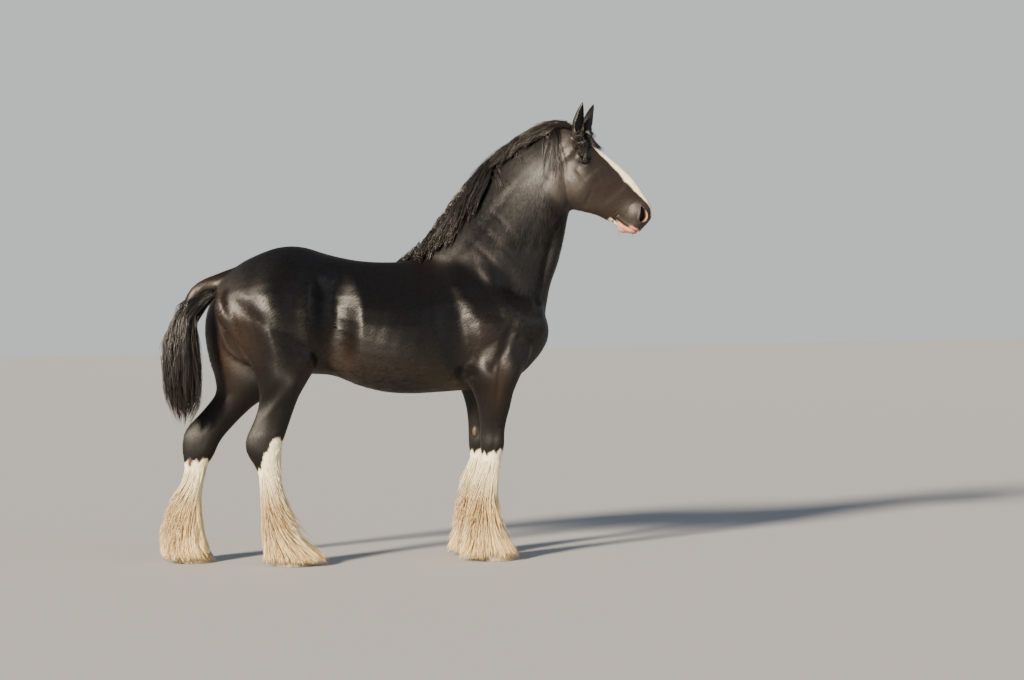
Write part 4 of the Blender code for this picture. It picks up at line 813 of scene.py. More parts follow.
# Colours of coat, hair and skin, and a grey painted sheen for the cheek
BLACK = np.array([0.0022, 0.0021, 0.0022])
BROWN_BLACK = np.array([0.020, 0.0115, 0.0070])
FACE_BROWN = np.array([0.020, 0.0135, 0.0098])
CHEEK_PAINTED_SHEEN = np.array([0.048, 0.040, 0.034])
WHITE = np.array([0.98, 0.88, 0.60])
CREAM = np.array([0.93, 0.70, 0.35])
TAN = np.array([0.43, 0.245, 0.080])
UMBER = np.array([0.13, 0.070, 0.035])
PINK = np.array([0.58, 0.26, 0.17])
GREY_SKIN = np.array([0.045, 0.038, 0.036])
TAIL_END = np.array([0.024, 0.016, 0.011])
CHESTNUT_BROWN = np.array([0.095, 0.050, 0.028])
# Where the black coat turns brown: middle x, z, reach along x and z, share
BROWN_PLACES = (
    (-0.92, 1.22, 0.10, 0.20, 0.85),
    (-0.38, 1.12, 0.13, 0.12, 0.75),
    (-0.20, 1.02, 0.25, 0.10, 0.55),
    (0.40, 1.22, 0.10, 0.14, 0.45),
    (0.50, 0.96, 0.07, 0.15, 0.80),
    (0.15, 1.70, 0.18, 0.08, 0.15),
    (-1.05, 1.15, 0.12, 0.25, 0.80),
    (-1.12, 1.55, 0.12, 0.12, 0.60),
)
# Half width of the blaze along the face, and its middle
BLAZE = ((0.015, 0.000, 0.000), (0.050, 0.020, 0.0), (0.110, 0.032, 0.0), (0.200, 0.035, -0.004),
         (0.300, 0.037, -0.003), (0.420, 0.035, -0.002), (0.520, 0.031, -0.001), (0.590, 0.024, 0.0),
         (0.640, 0.018, 0.0))
# Where the black ends on each leg: height at the back and at the front
WHITE_TOPS = {
    "fore_right": (0.590, 0.610),
    "fore_left": (0.585, 0.605),
    "hind_right": (0.520, 0.700),
    "hind_left": (0.560, 0.575),
}


def mix(low, high, share):
    share = np.asarray(share, float)[..., None]
    return low * (1 - share) + high * share


def ripple(places, scale, seed=0.0):
    """A smooth, uneven value from -1 to 1 that follows the place."""
    x, y, z = np.moveaxis(np.asarray(places, float) * scale, -1, 0)
    value = np.sin(x * 1.7 + seed) * np.cos(y * 2.3 + 1.3 * seed) + np.sin(z * 1.9 + 0.7 * x + 2.1 * seed)
    value += 0.5 * np.sin(x * 4.1 - z * 3.3 + seed) * np.cos(y * 4.7 + z * 2.9)
    return value / 2.5


def leg_white(points, ragged=0.0):
    """Share of white on each point of the legs."""
    white = np.zeros(len(points))
    for leg, (_, side, shift) in LEGS.items():
        back, front = WHITE_TOPS[leg]
        z = points[:, 2]
        middle = leg_middle(leg, z) + shift
        dx, dy = points[:, 0] - middle, points[:, 1] - side * LEG_MIDDLE_Y
        angle = np.arctan2(dy, dx)
        top = back + (front - back) * smoothstep(dx, -0.06, 0.06)
        top = top + 0.010 * np.sin(7 * angle + 1.0) + 0.006 * np.sin(13 * angle + 2.4) + ragged
        mine = (np.hypot(dx, dy) < 0.25) & (z < 0.80)
        white = np.where(mine, smoothstep(top - z, -0.006, 0.006), white)
    return white


def coat_colour(points, ragged=0.0):
    """Colour of the coat and how bare the skin is, for points of the straight skin."""
    u, v, w = face_place(points)
    head = smoothstep(past_jaw(points), -0.02, 0.05) * (points[:, 2] > 1.7)
    tone = 0.5 + 0.5 * ripple(points, 5.0, 2.0)
    brown = 0.10 * tone
    for x_mid, z_mid, long, high, share in BROWN_PLACES:
        gap = ((points[:, 0] - x_mid) / long) ** 2 + ((points[:, 2] - z_mid) / high) ** 2
        brown += share * (0.7 + 0.3 * tone) * np.exp(-gap)
    colour = mix(BLACK, BROWN_BLACK, np.clip(brown, 0, 1))
    colour = mix(colour, FACE_BROWN, head * (0.55 + 0.35 * tone))
    # Painted sheen: the disc of the cheek is lightened to grey where its gloss would shine, a painted
    # highlight
    cheek = head * np.exp(-(((u - 0.225) / 0.12) ** 2) - ((v + 0.195) / 0.095) ** 2)
    colour = mix(colour, CHEEK_PAINTED_SHEEN, 0.75 * cheek)
    dark_eye = np.zeros(len(points))
    for side in BOTH:
        far, *_ = offsets(points, eye_frame(side))
        dark_eye = np.maximum(dark_eye, bell(far, 0.0, 0.040))
    colour = mix(colour, BLACK, 0.8 * dark_eye)
    colour = mix(colour, BLACK, 0.8 * smoothstep(points[:, 2], 2.36, 2.42) * (points[:, 0] > 0.94))
    half, middle = (np.interp(u, [row[0] for row in BLAZE], [row[k] for row in BLAZE]) for k in (1, 2))
    half = half + 0.0005 * np.sin(u * 70.0) + 0.0003 * np.sin(u * 160.0 + 1.0) + ragged * 0.15
    front = smoothstep(v, -0.12, -0.06)
    blaze = smoothstep(half - np.abs(w - middle), -0.003, 0.003) * head * front * smoothstep(u, 0.015, 0.03)
    blaze *= 1 - smoothstep(u, 0.625, 0.645)
    white = np.maximum(leg_white(points, ragged), blaze)
    mouth = np.array(MOUTH_LINE)
    gap = v - np.interp(u, mouth[:, 0], mouth[:, 1])
    patches = ripple(points, 34.0, 5.0)
    lower = head * smoothstep(u, 0.515, 0.545) * smoothstep(-gap, -0.002, 0.004)
    lower = lower * (1 - smoothstep(u, 0.640, 0.665)) * smoothstep(v, -0.205, -0.185)
    upper = head * smoothstep(u, 0.585, 0.610) * bell(gap, 0.010, 0.010)
    chin = head * smoothstep(u, 0.470, 0.500) * (1 - smoothstep(u, 0.560, 0.580))
    chin = chin * smoothstep(-gap, 0.010, 0.020)
    muzzle = head * smoothstep(u, 0.50, 0.60)
    colour = mix(colour, GREY_SKIN, muzzle * 0.40)
    colour = mix(colour, WHITE, np.clip(chin * smoothstep(patches, -0.25, 0.15) * 0.9, 0, 1))
    pink = np.clip(lower * smoothstep(patches, -0.55, -0.25) + upper * smoothstep(patches, -0.1, 0.2), 0, 1)
    for side in BOTH:
        far, along, across = offsets(points, nostril_frame(side))
        gap = nostril_gap(along, across)
        near = bell(far, 0.0, 0.05) * (points[:, 1] * side > 0)
        rim = near * bell(gap, 0.0, 0.003) * smoothstep(-across, -0.002, 0.004)
        # Painted shade: the inside of each nostril is darkened to near black for the shade of its depth
        painted_nostril_shade = near * smoothstep(-gap, 0.0005, 0.0035)
        pink = np.maximum(pink, np.clip(rim * 1.3 * smoothstep(patches, -0.6, -0.1), 0, 1)) * (1 - painted_nostril_shade)
        colour = mix(colour, BLACK * 0.6, painted_nostril_shade)
    colour = mix(colour, WHITE, white)
    colour = mix(colour, PINK, pink)
    colour = mix(colour, CHESTNUT_BROWN, chestnut_share(points))
    return colour, np.clip(np.maximum(pink, muzzle * 0.6), 0, 1)


def part_shares(points):
    """How much each point belongs to the head, the neck and the legs."""
    head = smoothstep(past_jaw(points), -0.05, 0.05) * (points[:, 2] > 1.75)
    neck = smoothstep(over_shoulder(points), -0.12, 0.12) * (1 - head)
    legs = smoothstep(1.12 - points[:, 2], 0.0, 0.22)
    legs *= np.maximum(smoothstep(points[:, 0], 0.26, 0.36), smoothstep(-points[:, 0], 0.42, 0.52))
    return {"head_share": head, "neck_share": neck, "leg_share": legs * (1 - head)}


def lie_of(points, normals):
    """Which way the short coat lies, in the plane of the skin."""
    u, v, _ = face_place(points)
    head, neck, legs = part_shares(points).values()
    rump = smoothstep(-points[:, 0], 0.45, 0.90)
    chest = smoothstep(points[:, 0], 0.40, 0.70)
    flank = bell(points[:, 0], -0.32, 0.15)
    way = np.array([-0.85, 0.0, -0.52]) * np.ones_like(points)
    lies = ((-0.86, -0.50, rump), (-1.0, -0.12, flank), (-0.25, -1.0, chest), (-0.42, -0.90, neck))
    for x, z, share in lies:
        way = mix(way, np.array([x, 0.0, z]), share)
    face = mix(np.array([0.15, 0.0, -1.0]) * np.ones_like(points), FACE_DOWN, smoothstep(v, -0.16, -0.02))
    cheek = np.exp(-(((u - 0.21) / 0.13) ** 2) - ((v + 0.215) / 0.11) ** 2)
    face = mix(face, np.array([-0.88, 0.0, -0.47]), cheek)
    ears = smoothstep(points[:, 2], 2.385, 2.41) * (points[:, 0] > 0.94)
    face = mix(face, np.array([0.15, 0.0, 1.0]), ears)
    way = way * (1 - head[:, None]) + face * head[:, None]
    way = mix(way, np.array([0.0, 0.0, -1.0]), legs)
    way = way + 0.10 * np.stack([ripple(points, 6.0, k) for k in (1.0, 4.0, 8.0)], 1)
    way -= normals * np.sum(way * normals, axis=1, keepdims=True)
    return unit(way)


# Share of the unwrap that one tuft takes, and the length that directions are turned with
UNWRAP_PATCH = 0.003
TURN_STEP = 0.01
# Thickness of the strands of mane and tail, by their width
MANE_FLATNESS = 0.40


def strand_mesh(name, paths, outward, widths, thick, colours, places, shade=None):
    """Solid strands: three sided, tapered to a point. paths (n, s, 3), outward (n, s, 3), widths (n,),
    colours (n, s, 3), places (n, 2) on the unwrap, shade (n, 3) the normals of the skin to shade by."""
    count, rows, _ = paths.shape
    along = np.gradient(paths, axis=1) if rows > 2 else np.repeat(paths[:, 1:] - paths[:, :1], 2, axis=1)
    side = unit(np.cross(along, outward))
    up = unit(np.cross(side, along))
    share = np.linspace(0, 1, rows)
    swell = (0.55 + 0.45 * np.sin(np.pi * np.minimum(share * 1.6, 0.5)) - 0.55 * share**2.5)[None, :, None]
    half = widths[:, None, None] / 2 * swell
    high = thick[:, None, None] * swell
    body = np.stack([paths + side * half - up * high * 0.35, paths - side * half - up * high * 0.35,
                     paths + up * high * 0.65], axis=2)[:, :-1]
    per = 3 * (rows - 1) + 1
    points = np.concatenate([body.reshape(count, -1, 3), paths[:, -1:]], axis=1).reshape(-1, 3)
    faces = [(0, 2, 1)]
    for i in range(rows - 2):
        a, b, c = 3 * i, 3 * i + 1, 3 * i + 2
        for p, q in ((a, b), (b, c), (c, a)):
            faces += [(p, q, p + 3), (q, q + 3, p + 3)]
    last = per - 1
    a, b, c = last - 3, last - 2, last - 1
    faces += [(a, b, last), (b, c, last), (c, a, last)]
    faces = (np.array(faces)[None] + (np.arange(count) * per)[:, None, None]).reshape(-1, 3)
    made = mesh_of(name, turned(points), faces)
    local = np.array([[(x, i / (rows - 1)) for x in (0.0, 1.0, 0.5)] for i in range(rows - 1)]).reshape(-1, 2)
    local = np.vstack([local, [(0.5, 1.0)]]) * UNWRAP_PATCH
    spots = (places[:, None, :] * (1 - UNWRAP_PATCH) + local[None]).reshape(-1, 2)
    layer = made.data.uv_layers.new(name="OFBake")
    layer.data.foreach_set("uv", spots[faces.ravel()].astype(np.float32).ravel())
    body_colour = np.repeat(colours[:, :-1], 3, axis=1)
    colour = np.concatenate([body_colour, colours[:, -1:]], axis=1).reshape(-1, 3)
    store_colour(made, colour)
    made.data.shade_smooth()
    if shade is not None:
        skin_normals = turned_ways(paths[:, 0], shade)
        made.data.normals_split_custom_set_from_vertices(np.repeat(skin_normals, per, axis=0).tolist())
        store_across(made, np.repeat(paths[:, 0], per, axis=0), np.repeat(shade, per, axis=0))
    return made


def store(made, name, kind, values):
    """A value of its own for each point: a number, a direction or a colour."""
    field = {"FLOAT": "value", "FLOAT_VECTOR": "vector", "FLOAT_COLOR": "color"}[kind]
    layer = made.data.attributes.new(name, kind, "POINT")
    layer.data.foreach_set(field, np.asarray(values, np.float32).ravel())


def store_colour(made, colour, name="coat_colour"):
    store(made, name, "FLOAT_COLOR", np.concatenate([colour, np.ones((len(colour), 1))], axis=1))


def turned_ways(points, ways):
    """Directions at points of the straight body, turned with it."""
    return unit(turned(points + ways * TURN_STEP) - turned(points))


def store_across(made, points, normals):
    """The direction across the hairs at each point, turned with the body."""
    across = np.cross(normals, lie_of(points, normals))
    store(made, "across", "FLOAT_VECTOR", turned_ways(points, across))


class Surface:
    """The straight skin, to sample roots from and to keep hair outside of."""

    def __init__(self, made):
        mesh = made.data
        mesh.calc_loop_triangles()
        self.points = points_of(made)
        self.normals = normals_of(made)
        tris = np.empty(len(mesh.loop_triangles) * 3, int)
        mesh.loop_triangles.foreach_get("vertices", tris)
        self.tris = tris.reshape(-1, 3)
        self.tree = BVHTree.FromPolygons(self.points.tolist(), self.tris.tolist())
        a, b, c = (self.points[self.tris[:, k]] for k in range(3))
        self.middle = (a + b + c) / 3
        self.area = np.linalg.norm(np.cross(b - a, c - a), axis=1) / 2

    def sample(self, rng, count, weight):
        """Roots spread over the surface by a weight for each triangle's middle."""
        chance = self.area * weight(self.middle)
        pick = rng.choice(len(self.tris), count, p=chance / chance.sum())
        r = np.sqrt(rng.random(count))
        s = rng.random(count)
        shares = np.stack([1 - r, r * (1 - s), r * s], 1)
        corners = self.tris[pick]
        points = np.einsum("nk,nkd->nd", shares, self.points[corners])
        normals = unit(np.einsum("nk,nkd->nd", shares, self.normals[corners]))
        return points, normals

    def keep_out(self, points, lift, most=9.0):
        """Points held from lift to most over the skin, and the normals of the skin there."""
        flat = points.reshape(-1, 3).copy()
        lifts = np.broadcast_to(lift, points.shape[:-1]).ravel()
        mosts = np.broadcast_to(most, points.shape[:-1]).ravel()
        normals = np.empty_like(flat)
        for i, place in enumerate(flat):
            point = Vector(place)
            near, normal, *_ = self.tree.find_nearest(point)
            depth = (point - near).dot(normal)
            normals[i] = normal
            if depth < lifts[i]:
                flat[i] = [near[k] + normal[k] * lifts[i] for k in range(3)]
            elif (point - near).length > mosts[i]:
                flat[i] = near + (point - near).normalized() * mosts[i]
        return flat.reshape(points.shape), normals.reshape(points.shape)


def cylinder_place(points, start, end, upward):
    """Places on an unwrap round an axis: the angle round it, and the share along it."""
    start, end = np.array(start, float), np.array(end, float)
    axis = end - start
    length = np.linalg.norm(axis)
    axis = axis / length
    d = points - start
    along = d @ axis
    across = unit(np.cross(axis, upward))
    other = np.cross(across, axis)
    angle = np.arctan2(d @ across, d @ other) / (2 * math.pi) + 0.5
    return np.clip(np.stack([angle, along / length], 1), 0, 1)


TUFT_THICK = 0.0004
# Short coat by region: number of tufts, length, width, and axis of the unwrap
COAT = {
    "coat_torso": (26000, 0.030, 0.0050, (-1.08, 0, 1.32), (0.85, 0, 1.32)),
    "coat_neck": (13000, 0.028, 0.0046, (0.42, 0, 1.45), (0.92, 0, 2.40)),
    "coat_head": (22000, 0.0100, 0.0024, head_point(-0.08, -0.12, 0), head_point(0.67, -0.12, 0)),
    "coat_legs": (18000, 0.020, 0.0038, (0, 0, 1.25), (0, 0, 0.08)),
}


def region_weight(name):
    def weight(points):
        head = (past_jaw(points) > 0) & (points[:, 2] > 1.75)
        neck = (over_shoulder(points) > 0) & ~head & (points[:, 0] > -0.02)
        legs = (points[:, 2] < 1.08) & ((points[:, 0] > 0.26) | (points[:, 0] < -0.46)) & ~head
        if name == "coat_head":
            return head * (1 + 1.5 * smoothstep(face_place(points)[0], 0.40, 0.55))
        if name == "coat_neck":
            return neck * 1.0
        if name == "coat_legs":
            return (legs & (points[:, 2] > 0.09)) * 1.0
        return (~head & ~neck & ~legs) * 1.0
    return weight


def short_coat(surface, name):
    """Small flat tufts that lie along the body and break its outline a little."""
    count, length, width, start, end = COAT[name]
    rng = np.random.default_rng(sum(map(ord, name)))
    roots, normals = surface.sample(rng, count, region_weight(name))
    lie = lie_of(roots, normals)
    ragged = 0.010 * (rng.random(count) - 0.5)
    colour, bare = coat_colour(roots, ragged)
    size = 0.75 + 0.5 * rng.random(count)
    if name == "coat_head":
        size *= 1 - 0.55 * smoothstep(face_place(roots)[0], 0.40, 0.56)
        for side in BOTH:
            far, *_ = offsets(roots, eye_frame(side))
            size *= 1 - 0.6 * bell(far, 0.0, 0.045)
    size *= 1 - 0.5 * bare
    fringe = fringe_share(roots, normals) * (1 - bare)
    reach = (length * size * (1 + 1.1 * fringe))[:, None]
    lift = (0.015 + 0.035 * rng.random(count) + 0.16 * fringe * rng.random(count))[:, None]
    start_points = roots - normals * 0.0008
    tips = start_points + lie * reach + normals * (lift * reach)
    if name != "coat_head":
        tips, _ = surface.keep_out(tips, 0.0007)
    paths = np.stack([start_points, tips], 1)
    outward = np.stack([normals, normals], 1)
    tone = (0.88 + 0.24 * rng.random(count))[:, None]
    colours = np.repeat((colour * tone)[:, None], 2, axis=1)
    if name == "coat_legs":
        places = leg_places(roots)
    else:
        places = cylinder_place(roots, start, end, (0, 0, 1) if name != "coat_neck" else (-1, 0, 0))
    hairless = (bare > 0.75) & (rng.random(count) < 0.85)
    keep = ~hairless & ~in_hole(roots)
    size = size[keep]
    return strand_mesh(name, paths[keep], outward[keep], width * size, TUFT_THICK * size, colours[keep],
                       places[keep], normals[keep])


def fringe_share(points, normals):
    """Where the short coat grows longer: jaw, belly, backs of forearms and thighs."""
    u, v, _ = face_place(points)
    jaw = bell(u, 0.24, 0.16) * smoothstep(-v, 0.235, 0.30) * (points[:, 2] > 1.75)
    belly = smoothstep(-normals[:, 2], 0.5, 0.9) * bell(points[:, 0], -0.15, 0.40)
    low = bell(points[:, 2], 0.85, 0.20) * smoothstep(-normals[:, 0], 0.4, 0.8)
    return np.clip(jaw + 0.6 * belly + 0.5 * low, 0, 1)


def in_hole(points):
    """Points in an eye's opening or a nostril, where no hair grows."""
    found = np.zeros(len(points), bool)
    for side in BOTH:
        far, ahead, up = offsets(points, eye_frame(side))
        found |= (eye_gap(ahead, up) < HAIRLESS_RIM) & (far < 0.03)
        far, along, across = offsets(points, nostril_frame(side))
        found |= (nostril_gap(along, across) < HAIRLESS_RIM) & (far < 0.055) & (points[:, 1] * side > 0)
    return found


def leg_places(points):
    """Places on an unwrap of the four legs side by side, each round its own middle."""
    places = np.zeros((len(points), 2))
    for k, (leg, (_, side, shift)) in enumerate(LEGS.items()):
        z = points[:, 2]
        middle = leg_middle(leg, z) + shift
        mine = (points[:, 1] * side > 0) & ((points[:, 0] > 0) == leg.startswith("fore"))
        angle = np.arctan2(points[:, 1] - side * LEG_MIDDLE_Y, points[:, 0] - middle) / (2 * math.pi) + 0.5
        found = np.stack([(k + angle * 0.96 + 0.02) / 4, np.clip((z - 0.05) / 1.20, 0, 1)], 1)
        places[mine] = found[mine]
    return places


# Outline of each feather: its heights, its half widths there, and for each leg its front x and back x
FEATHER_Z = (0.560, 0.450, 0.330, 0.200, 0.090, 0.006)
FEATHER_HALF = (0.052, 0.062, 0.080, 0.112, 0.138, 0.150)
FEATHER_X = {
    "fore_right": ((0.512, 0.490, 0.503, 0.545, 0.594, 0.630), (0.372, 0.345, 0.318, 0.292, 0.270, 0.258)),
    "fore_left": ((0.478, 0.456, 0.468, 0.508, 0.558, 0.594), (0.340, 0.312, 0.286, 0.261, 0.237, 0.224)),
    "hind_right": ((-0.694, -0.688, -0.645, -0.572, -0.462, -0.428),
                   (-0.866, -0.822, -0.822, -0.822, -0.818, -0.814)),
    "hind_left": ((-1.106, -1.140, -1.152, -1.148, -1.112, -1.062),
                  (-1.238, -1.264, -1.332, -1.380, -1.396, -1.352)),
}
FEATHER_STRANDS, FEATHER_CLUMPS, FEATHER_ROWS = 3450, 150, 7
# One turn of the waves of hair, near enough
WAVE_TURN = 6.28


def outline_at(outline, z):
    rows = np.array(outline)[::-1]
    return [np.interp(z, rows[:, 0], rows[:, k]) for k in (1, 2, 3)]


def led_to(roots, x, y, z, blend):
    """Points at heights z on the way from above the roots to x and y."""
    return vectors(roots[:, 0] * (1 - blend) + x * blend, roots[:, 1] * (1 - blend) + y * blend, z)


def feather(surface, leg):
    """Long silky hair from the knee or hock to the floor, as a bell over the hoof."""
    y = HOOVES[leg][2]
    outline = list(zip(FEATHER_Z, *FEATHER_X[leg], FEATHER_HALF))
    rng = np.random.default_rng(30 + list(LEGS).index(leg))
    count = FEATHER_STRANDS
    back_top, front_top = WHITE_TOPS[leg]
    angle = rng.random(count) * 2 * math.pi - math.pi
    clump = rng.integers(0, FEATHER_CLUMPS, count)
    clump_angle = (rng.random(FEATHER_CLUMPS) * 2 - 1) * math.pi
    angle = np.where(rng.random(count) < 0.75, clump_angle[clump] + 0.10 * rng.normal(size=count), angle)
    behind = 0.5 - 0.5 * np.cos(angle)
    top = back_top + (front_top - back_top) * (0.5 + 0.5 * np.cos(angle)) - 0.02
    root_z = top - (top - 0.10) * rng.random(count) ** (1.0 + 0.6 * behind)
    middle_x = leg_middle(leg, root_z) + LEGS[leg][2]
    roots = np.empty((count, 3))
    for i in range(count):
        way = Vector((math.cos(angle[i]), math.sin(angle[i]), 0.0))
        hit, *_ = surface.tree.ray_cast(Vector((middle_x[i], y, root_z[i])), way, 0.2)
        roots[i] = hit if hit is not None else (middle_x[i], y, root_z[i])
    radial = np.stack([np.cos(angle), np.sin(angle), np.zeros(count)], 1)
    roots -= radial * 0.004
    length = (0.10 + 0.26 * rng.random(count)) * (0.55 + 0.45 * behind) + 0.06
    low = root_z < 0.34
    tip_z = np.where(low, 0.003 + 0.030 * rng.random(count) ** 2, root_z - length)
    tip_z = np.maximum(tip_z, 0.003 + 0.012 * rng.random(count))
    share = np.sqrt(0.35 + 0.65 * rng.random(count)) * (0.96 + 0.05 * rng.normal(size=count) * 0.5)
    share = np.clip(share, 0.5, 1.0)
    t = np.linspace(0, 1, FEATHER_ROWS)
    paths = np.empty((count, FEATHER_ROWS, 3))
    phase = rng.random(FEATHER_CLUMPS)[clump] * WAVE_TURN
    for k, s in enumerate(t):
        z = root_z + (tip_z - root_z) * s
        front, back, half = outline_at(outline, z)
        tx = (front + back) / 2 + (front - back) / 2 * np.cos(angle) * share
        ty = y + half * np.sin(angle) * share
        blend = np.minimum(1.0, s * 1.15) ** 0.85
        paths[:, k] = led_to(roots, tx, ty, z, blend)
        wave = 0.0035 * s * np.sin(phase + 5.0 * s + 0.6 * rng.normal(size=count))
        paths[:, k, 0] -= np.sin(angle) * wave
        paths[:, k, 1] += np.cos(angle) * wave
    paths[:, 1:], _ = surface.keep_out(paths[:, 1:], 0.0015)
    outward = np.repeat(radial[:, None], FEATHER_ROWS, axis=1)
    widths = 0.0036 * (0.6 + 0.8 * rng.random(count))
    colours = feather_colour(paths[..., 2], behind, rng, clump)
    places = np.stack([(angle / (2 * math.pi) + 0.5) % 1.0, np.clip((root_z - 0.08) / 0.62, 0, 1)], 1)
    return strand_mesh("feather_" + leg, paths, outward, widths, widths * 0.35, colours, places)


def feather_colour(z, behind, rng, clump):
    """Cream at the top, tan and brown streaks half way down, cream again at the tips."""
    strand = rng.random(len(z))
    clump_tone = rng.random(FEATHER_CLUMPS)[clump]
    tan = 0.92 * bell(z, 0.26, 0.14) * (0.35 + 0.65 * behind[:, None] ** 0.5)
    tan = np.clip(tan * (0.55 + 0.9 * clump_tone[:, None]) + 0.25 * (strand[:, None] - 0.5), 0, 1)
    colour = mix(WHITE, TAN, tan)
    gold = 0.75 * smoothstep(0.20 - z, 0.0, 0.12) + 0.45 * smoothstep(0.42 - z, 0.0, 0.16)
    colour = mix(colour, CREAM, np.clip(gold * (0.3 + 1.2 * clump_tone[:, None]), 0, 1))
    streak = ((strand > 0.86) & (clump_tone > 0.3))[:, None] * bell(z, 0.20, 0.13)
    colour = mix(colour, UMBER, 0.65 * streak)
    return colour


def guide_fall(surface, start, heading, drift, length, lift, bend, steps, slack=0.016):
    """Guides that leave start along heading, turn to drift and stay close over the skin."""
    point, way = start.copy(), unit(heading)
    drift = unit(drift)
    path = [point.copy()]
    for _ in range(steps):
        point = point + way * (length / steps)[:, None]
        point, _ = surface.keep_out(point, lift, lift + slack)
        path.append(point)
        way = unit(way * (1 - bend) + drift * bend)
    return np.stack(path, 1)


def crest_points(share):
    """Points of the crest, from the withers at 0 to the poll at 1."""
    poll = head_point(-0.005, 0.046, 0)
    line = np.array([row[:2] for row in NECK] + [(poll[0], poll[2])])
    place = np.linspace(0, 1, len(line))
    x, z = np.interp(share, place, line[:, 0]), np.interp(share, place, line[:, 1])
    return np.stack([x, np.zeros_like(x), z], 1)


def tufted(surface, guides, rng, per, spread, tip_spread, width, wave, waves, lift):
    """Strands round each guide, drawn together towards the tips, with a wave that the lock shares."""
    groups, rows, _ = guides.shape
    owner = np.repeat(np.arange(groups), per)
    count = len(owner)
    t = np.linspace(0, 1, rows)[None, :, None]
    along = unit(np.gradient(guides, axis=1))[owner]
    offset = rng.normal(size=(count, 3))
    offset *= (rng.random(count) ** 0.5 / np.maximum(np.linalg.norm(offset, axis=1), 1e-6))[:, None]
    reach = spread * (1 - t) + tip_spread * t
    stretch = (0.80 + 0.25 * rng.random(count))[:, None, None]
    base = guides[owner]
    start = base[:, :1]
    paths = start + (base - start) * stretch + offset[:, None] * reach
    side = unit(np.cross(along, np.array([0.3, 0.9, 0.3])))
    phase = (rng.random(groups) * WAVE_TURN)[owner][:, None, None]
    speed = (waves * (0.8 + 0.4 * rng.random(groups)))[owner][:, None, None]
    own = 0.5 * rng.normal(size=(count, 1, 1))
    paths = paths + side * (wave * np.sin(phase + own + speed * WAVE_TURN * t) * np.minimum(1, 2 * t))
    paths[:, 1:], normals = surface.keep_out(paths[:, 1:], lift)
    outward = np.concatenate([normals[:, :1], normals], axis=1)
    widths = width * (0.6 + 0.8 * rng.random(count))
    return paths, outward, widths, black_hair(owner, rows, rng)


def black_hair(owner, rows, rng):
    """Black that turns a little brown towards the tips, more in some locks than in others."""
    tone = rng.random(owner.max() + 1)[owner][:, None] * 0.6 + 0.4 * rng.random(len(owner))[:, None]
    share = np.linspace(0, 1, rows)[None]
    return mix(BLACK, BROWN_BLACK * 1.2, np.clip(tone * (0.15 + 0.75 * share), 0, 1))


def crest_ways(share):
    """Unit vectors down along the crest, towards the withers."""
    return unit(crest_points(share - 0.03) - crest_points(share + 0.03))


def arched(surface, start, heading, drift, rise, length, rows, lift, bend=0.45, slack=0.016):
    """Guides that climb a little from their roots before they turn over and lie down."""
    first = start + unit(heading) * (rise + 0.016)[:, None]
    way = unit(heading) * 0.5 + unit(drift) * 0.6
    rest = guide_fall(surface, first, way, drift, length, lift, bend, rows - 2, slack)
    return np.concatenate([start[:, None], rest], axis=1)


def roots_on_crest(share, y):
    return crest_points(share) + np.stack([np.zeros_like(share), y, -0.014 - 0.3 * np.abs(y)], 1)


def vectors(*parts):
    """Rows of x, y, z from three parts, each a number or an array."""
    return np.stack(np.broadcast_arrays(*[np.asarray(p, float) for p in parts]), -1)


def mane(surface):
    """The main fall: up from the crest and over its left side, in wavy locks."""
    rng = np.random.default_rng(41)
    groups, rows = 230, 9
    share = 0.03 + 0.96 * (np.arange(groups) + rng.random(groups)) / groups
    start = roots_on_crest(share, 0.004 + 0.022 * rng.random(groups))
    back = crest_ways(share)
    swing = ripple(np.stack([share * 40.0, share * 23.0, share * 31.0], 1), 1.0, 3.0)
    heading = back * 0.4 + vectors(0.1 * swing, 0.15 + 0.35 * rng.random(groups), 1.0)
    drift = vectors(-0.30 + 0.22 * swing, 0.22, -1.0)
    length = 0.34 + 0.16 * rng.random(groups)
    rise = 0.006 + 0.022 * rng.random(groups)
    guides = arched(surface, start, heading, drift, rise, length, rows, 0.008 + 0.020 * rng.random(groups))
    return tufted(surface, guides, rng, per=15, spread=0.013, tip_spread=0.007, width=0.0037,
                  wave=0.013, waves=1.3, lift=0.004)


def mane_back_flow(surface):
    """On the right of the upper crest: wavy locks that run back along the crest."""
    rng = np.random.default_rng(43)
    groups, rows = 150, 9
    share = 0.44 + 0.55 * ((np.arange(groups) + rng.random(groups)) / groups) ** 0.8
    start = roots_on_crest(share, -0.016 + 0.020 * rng.random(groups))
    back = crest_ways(share)
    low = rng.random(groups)
    heading = back * 0.7 + vectors(0.0, -0.08 - 0.30 * low, 0.45)
    drift = back * 0.95 + vectors(0.08 * rng.normal(size=groups), -0.08 - 0.16 * low, -0.10 - 0.85 * low**2)
    length = 0.15 + 0.13 * rng.random(groups)
    guides = arched(surface, start, heading, drift, 0.004 + 0.010 * rng.random(groups), length, rows,
                    0.005 + 0.012 * rng.random(groups), 0.35)
    return tufted(surface, guides, rng, per=14, spread=0.010, tip_spread=0.007, width=0.0027,
                  wave=0.011, waves=1.1, lift=0.003)


def mane_comb(surface):
    """On the right of the lower crest: a combed fan that sweeps back to the withers."""
    rng = np.random.default_rng(44)
    groups, rows = 110, 9
    share = 0.05 + 0.43 * (np.arange(groups) + rng.random(groups)) / groups
    start = roots_on_crest(share, -0.016 + 0.014 * rng.random(groups))
    low = rng.random(groups)
    heading = vectors(0.25 * low - 0.10, -0.8, 0.25 - 0.45 * low)
    drift = vectors(-0.78 + 0.34 * low + 0.06 * rng.normal(size=groups), -0.05, -0.70 - 0.20 * low)
    length = 0.09 + 0.19 * smoothstep(share, 0.04, 0.32) + 0.05 * rng.random(groups)
    guides = arched(surface, start, heading, drift, 0.003 + 0.008 * rng.random(groups), length, rows,
                    0.006 + 0.014 * rng.random(groups), 0.30)
    return tufted(surface, guides, rng, per=16, spread=0.010, tip_spread=0.010, width=0.0027,
                  wave=0.006, waves=0.9, lift=0.003)


